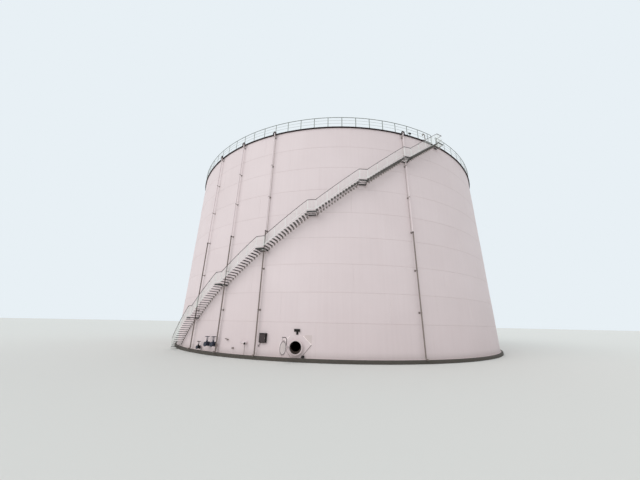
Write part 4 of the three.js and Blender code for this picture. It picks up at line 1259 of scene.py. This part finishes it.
class TANK_OT_valves(bpy.types.Operator):
    """Builds the flanged gate valves low on the shell"""

    bl_idname = "tank.valves"
    bl_label = "Valves"

    def execute(self, context):
        for valve in VALVES:
            self.build_valve(*valve)
        return {"FINISHED"}

    def build_valve(self, name, azimuth, height, bore, paint, slot):
        """A gate valve: nozzle, flanged body, bonnet, yoke, stem and spoked handwheel. Its profiles
        are in multiples of its bore."""
        z = SHELL_BASE_Z + height
        body = lathe([
            [0, 0.8], [0.5, 0.85], [0.56, 1.1], [0.58, 1.4], [0.56, 1.7], [0.5, 1.88], [0, 1.9],
        ], 24, bore)
        lying = coated("tank", nozzle(bore, 0.7 * bore)) + coated(paint, body)
        for low, high in ((0.6, 0.7), (0.72, 0.82), (1.86, 1.96), (1.98, 2.1)):
            lying += flange_with_bolts(bore, low * bore, high * bore)
        lying = [outward(part, z, azimuth) for part in lying]
        bonnet = lathe([
            [0, 0.2], [0.44, 0.2], [0.46, 0.62], [0.3, 0.66], [0.26, 1.15], [0.14, 1.2], [0, 1.2],
        ], 24, bore)
        stem = lathe([[0, 1.1], [0.05, 1.1], [0.05, 2.4], [0, 2.4]], 12, bore)
        rim = lathe([[0.7, 2.21], [0.77, 2.18], [0.82, 2.25], [0.77, 2.32], [0.7, 2.29]], 32, bore)
        hub = lathe([[0, 2.16], [0.14, 2.16], [0.14, 2.33], [0, 2.33]], 16, bore)
        spoke = block(0.06 * bore, 0.68 * bore, 0.06 * bore, 0.4 * bore, 0, 2.25 * bore)
        yoke = block(0.12 * bore, 0.07 * bore, 1.02 * bore, 0.24 * bore, 0, 1.64 * bore)
        upright = [bonnet, stem, rim, hub, repeated(spoke, 5, 72), repeated(yoke, 2, 180)]
        for part in upright:
            part.location = front(0, FACE_R + 1.4 * bore, z)
            turned(settle(part), azimuth)
        hand_over(lying + coated(paint, *upright), f"{name}_assembly", slot, name)


class TANK_OT_fittings(bpy.types.Operator):
    """Builds the instrument panel, plate on its stub, earth terminal, sample nozzle and small stubs"""

    bl_idname = "tank.fittings"
    bl_label = "Small fittings"

    def execute(self, context):
        self.build_panel()
        self.build_plate()
        self.build_earth_terminal()
        self.build_sample_nozzle()
        self.build_stubs()
        patch = swept(6, 580, FACE_R, 1.74, SHELL_BASE_Z + 1380, [(0.37, 0)] * 4)
        hand_over(coated("patch", patch), "touch_up_square", "shell_paint")
        return {"FINISHED"}

    def build_panel(self):
        """A steel cabinet with a framed door, a hood, a handle and a conduit down to its foot."""
        base = SHELL_BASE_Z
        door_z = base + 1345
        cabinet = eased(block(620, 190, 700, FACE_R + 95, 0, base + 1350), 6)
        door = eased(block(560, 14, 620, FACE_R + 194, 0, door_z), 4)
        hood = eased(block(660, 240, 24, FACE_R + 110, 0, base + 1715), 3)
        frame_bars = [block(24, 20, 640, FACE_R + 200, 0, door_z, x=x) for x in (-275, 275)]
        frame_bars += [block(560, 20, 24, FACE_R + 200, 0, base + z) for z in (1030, 1660)]
        handle = rod(front(220, FACE_R + 215, base + 1300), front(220, FACE_R + 215, base + 1400), 12)
        conduit = rod(front(-360, FACE_R + 60, base + 660), front(-360, FACE_R + 60, base + 1120), 30, 12)
        junction = eased(block(150, 110, 180, FACE_R + 60, 0, base + 1000, x=-330), 5)
        knob = eased(block(70, 60, 90, FACE_R + 60, 0, base + 740, x=-360), 8)
        parts = coated("black", cabinet, hood, knob, *frame_bars) + coated("upper pipe", conduit, junction)
        parts += coated("kerb", door) + coated("bolts", handle)
        parts = [turned(part, CABINET_AZIMUTH) for part in parts]
        hand_over(parts, "instrument_cabinet", "dark_paint", "instrument_box")

    def build_plate(self):
        """A blank plate on a bent stub that stands off the wall."""
        base = SHELL_BASE_Z
        plate = eased(block(490, 14, 210, FACE_R + 108, 0, base + 2015), 4)
        back = eased(block(380, 40, 150, FACE_R + 80, 0, base + 2015), 4)
        stem = eased(block(130, 40, 330, FACE_R + 40, 0, base + 1855), 4)
        foot = eased(block(180, 14, 120, FACE_R + 8, 0, base + 1750), 3)
        parts = [turned(part, BLANK_PLATE_AZIMUTH) for part in (plate, back, stem, foot)]
        hand_over(coated("black", *parts), "blank_plate_on_stub", "dark_paint", "plate_on_stub")

    def build_earth_terminal(self):
        """A small box with a lid over the earthing bolt."""
        base = SHELL_BASE_Z
        face = FACE_R + 22
        box = eased(block(196, 120, 165, face + 60, 0, base + 100, x=590), 6)
        lid = eased(block(210, 24, 176, face + 128, 0, base + 102, x=588), 5)
        screw = outward(disc(14, 130, 158, 8), base + 102, x=588, radius=face - 8)
        parts = coated("black", box, lid) + coated("bolts", screw)
        hand_over(parts, "earth_terminal_box", "dark_paint", "earth_terminal")

    def build_sample_nozzle(self):
        """A flanged stub with a side elbow and a thin drain to the ground."""
        z = SHELL_BASE_Z + 950
        stub = lathe([
            [0, -40], [110, -40], [110, 16], [70, 24], [70, 120], [115, 124], [115, 160], [0, 160],
        ], 24)
        elbow_r = FACE_R + 235
        elbow = bent_tube(
            [front(0, FACE_R + 130, z), front(0, elbow_r, z), front(-330, elbow_r, z)], 68, 90, 16)
        face = rod(front(-330, elbow_r, z), front(-360, elbow_r, z), 100, 20)
        drain = bent_tube(
            [front(0, FACE_R + 200, z - 50), front(0, FACE_R + 200, FOUNDATION_H + 1)], 18, 30, 8)
        cock = eased(block(110, 60, 190, FACE_R + 250, 0, z - 70, x=-20), 10)
        # A black disc on the open end of the elbow is painted shade: the dark inside of the pipe.
        mouth = rod(front(-358, elbow_r, z), front(-364, elbow_r, z), 78, 20)
        parts = coated("upper pipe", outward(stub, z), elbow, face)
        parts += coated("black", cock, mouth) + coated("lower pipe", drain)
        parts = [turned(part, SAMPLE_AZIMUTH) for part in parts]
        hand_over(parts, "sample_nozzle_and_drain", "trim_paint", "sample_nozzle")

    def build_stubs(self):
        """Short blind-flanged stubs between the panel and the valves."""
        parts = []
        for azimuth, height, bore in STUBS:
            for part in (nozzle(bore, 130), disc(0.85 * bore, 110, 150, 20)):
                parts += coated("lower pipe", outward(part, SHELL_BASE_Z + height, azimuth))
        hand_over(parts, "blind_stubs", "trim_paint")


# The stage

class TANK_OT_stage(bpy.types.Operator):
    """Sets up the floor, the light and the camera at the photograph's viewing angle"""

    bl_idname = "tank.stage"
    bl_label = "Stage"

    def execute(self, context):
        scene = context.scene
        scene.view_settings.view_transform = "Standard"
        start_clean()
        bpy.ops.mesh.primitive_plane_add(size=900)
        floor = bpy.context.object
        floor.name = "floor"
        floor.data.materials.append(bare_finish("plain_floor", colours().floor, 0.9)[0])
        world = bpy.data.worlds.new("sky")
        world.use_nodes = True
        sky = world.node_tree.nodes["Background"]
        sky.inputs["Color"].default_value = [*linear("#E8F0F5"), 1]
        sky.inputs["Strength"].default_value = 1.0
        scene.world = world
        key = self.soft_sun(54, -34, 1.25, 55)
        fill = self.soft_sun(60, 150, 0.35, 60)
        bpy.ops.object.camera_add()
        camera = bpy.context.object
        camera.data.lens = CAMERA_LENS
        camera.data.clip_start = 0.05
        camera.data.clip_end = 2000
        stand = Matrix.Translation(CAMERA_EYE)
        for angle, axis in zip(CAMERA_TURNS, "ZXZ"):
            stand = stand @ Matrix.Rotation(math.radians(angle), 4, axis)
        camera.matrix_world = stand
        scene.camera = camera
        return {"FINISHED"}

    def soft_sun(self, tilt, heading, energy, spread):
        """A sun whose tilt, heading and spread are in degrees."""
        bpy.ops.object.light_add(type="SUN", rotation=(math.radians(tilt), 0, math.radians(heading)))
        sun = bpy.context.object
        sun.data.energy = energy
        sun.data.angle = math.radians(spread)
        return sun


class TANK_PT_panel(bpy.types.Panel):
    """Lists the tank's steps and what can be changed"""

    bl_idname = "TANK_PT_panel"
    bl_label = "Storage tank"
    bl_space_type = "VIEW_3D"
    bl_region_type = "UI"
    bl_category = "Tank"

    def draw(self, context):
        for group in (context.scene.tank_sizes, context.scene.tank_colours):
            column = self.layout.column()
            for name in group.__annotations__:
                column.prop(group, name)
        for step in STEPS:
            self.layout.operator(step.bl_idname)


STEPS = (
    TANK_OT_shell,
    TANK_OT_base,
    TANK_OT_kerb,
    TANK_OT_roof,
    TANK_OT_roof_rail,
    TANK_OT_stair,
    TANK_OT_balustrade,
    TANK_OT_downpipes,
    TANK_OT_manhole,
    TANK_OT_valves,
    TANK_OT_fittings,
    TANK_OT_stage,
)
CLASSES = (TankSizes, TankColours, *STEPS, TANK_PT_panel)


def register():
    for item in CLASSES:
        bpy.utils.register_class(item)
    bpy.types.Scene.tank_sizes = bpy.props.PointerProperty(type=TankSizes)
    bpy.types.Scene.tank_colours = bpy.props.PointerProperty(type=TankColours)


def unregister():
    del bpy.types.Scene.tank_sizes
    del bpy.types.Scene.tank_colours
    for item in reversed(CLASSES):
        bpy.utils.unregister_class(item)


def main():
    """Builds the tank step by step."""
    register()
    for step in STEPS:
        group, name = step.bl_idname.split(".")
        getattr(getattr(bpy.ops, group), name)()


if __name__ == "__main__":
    main()
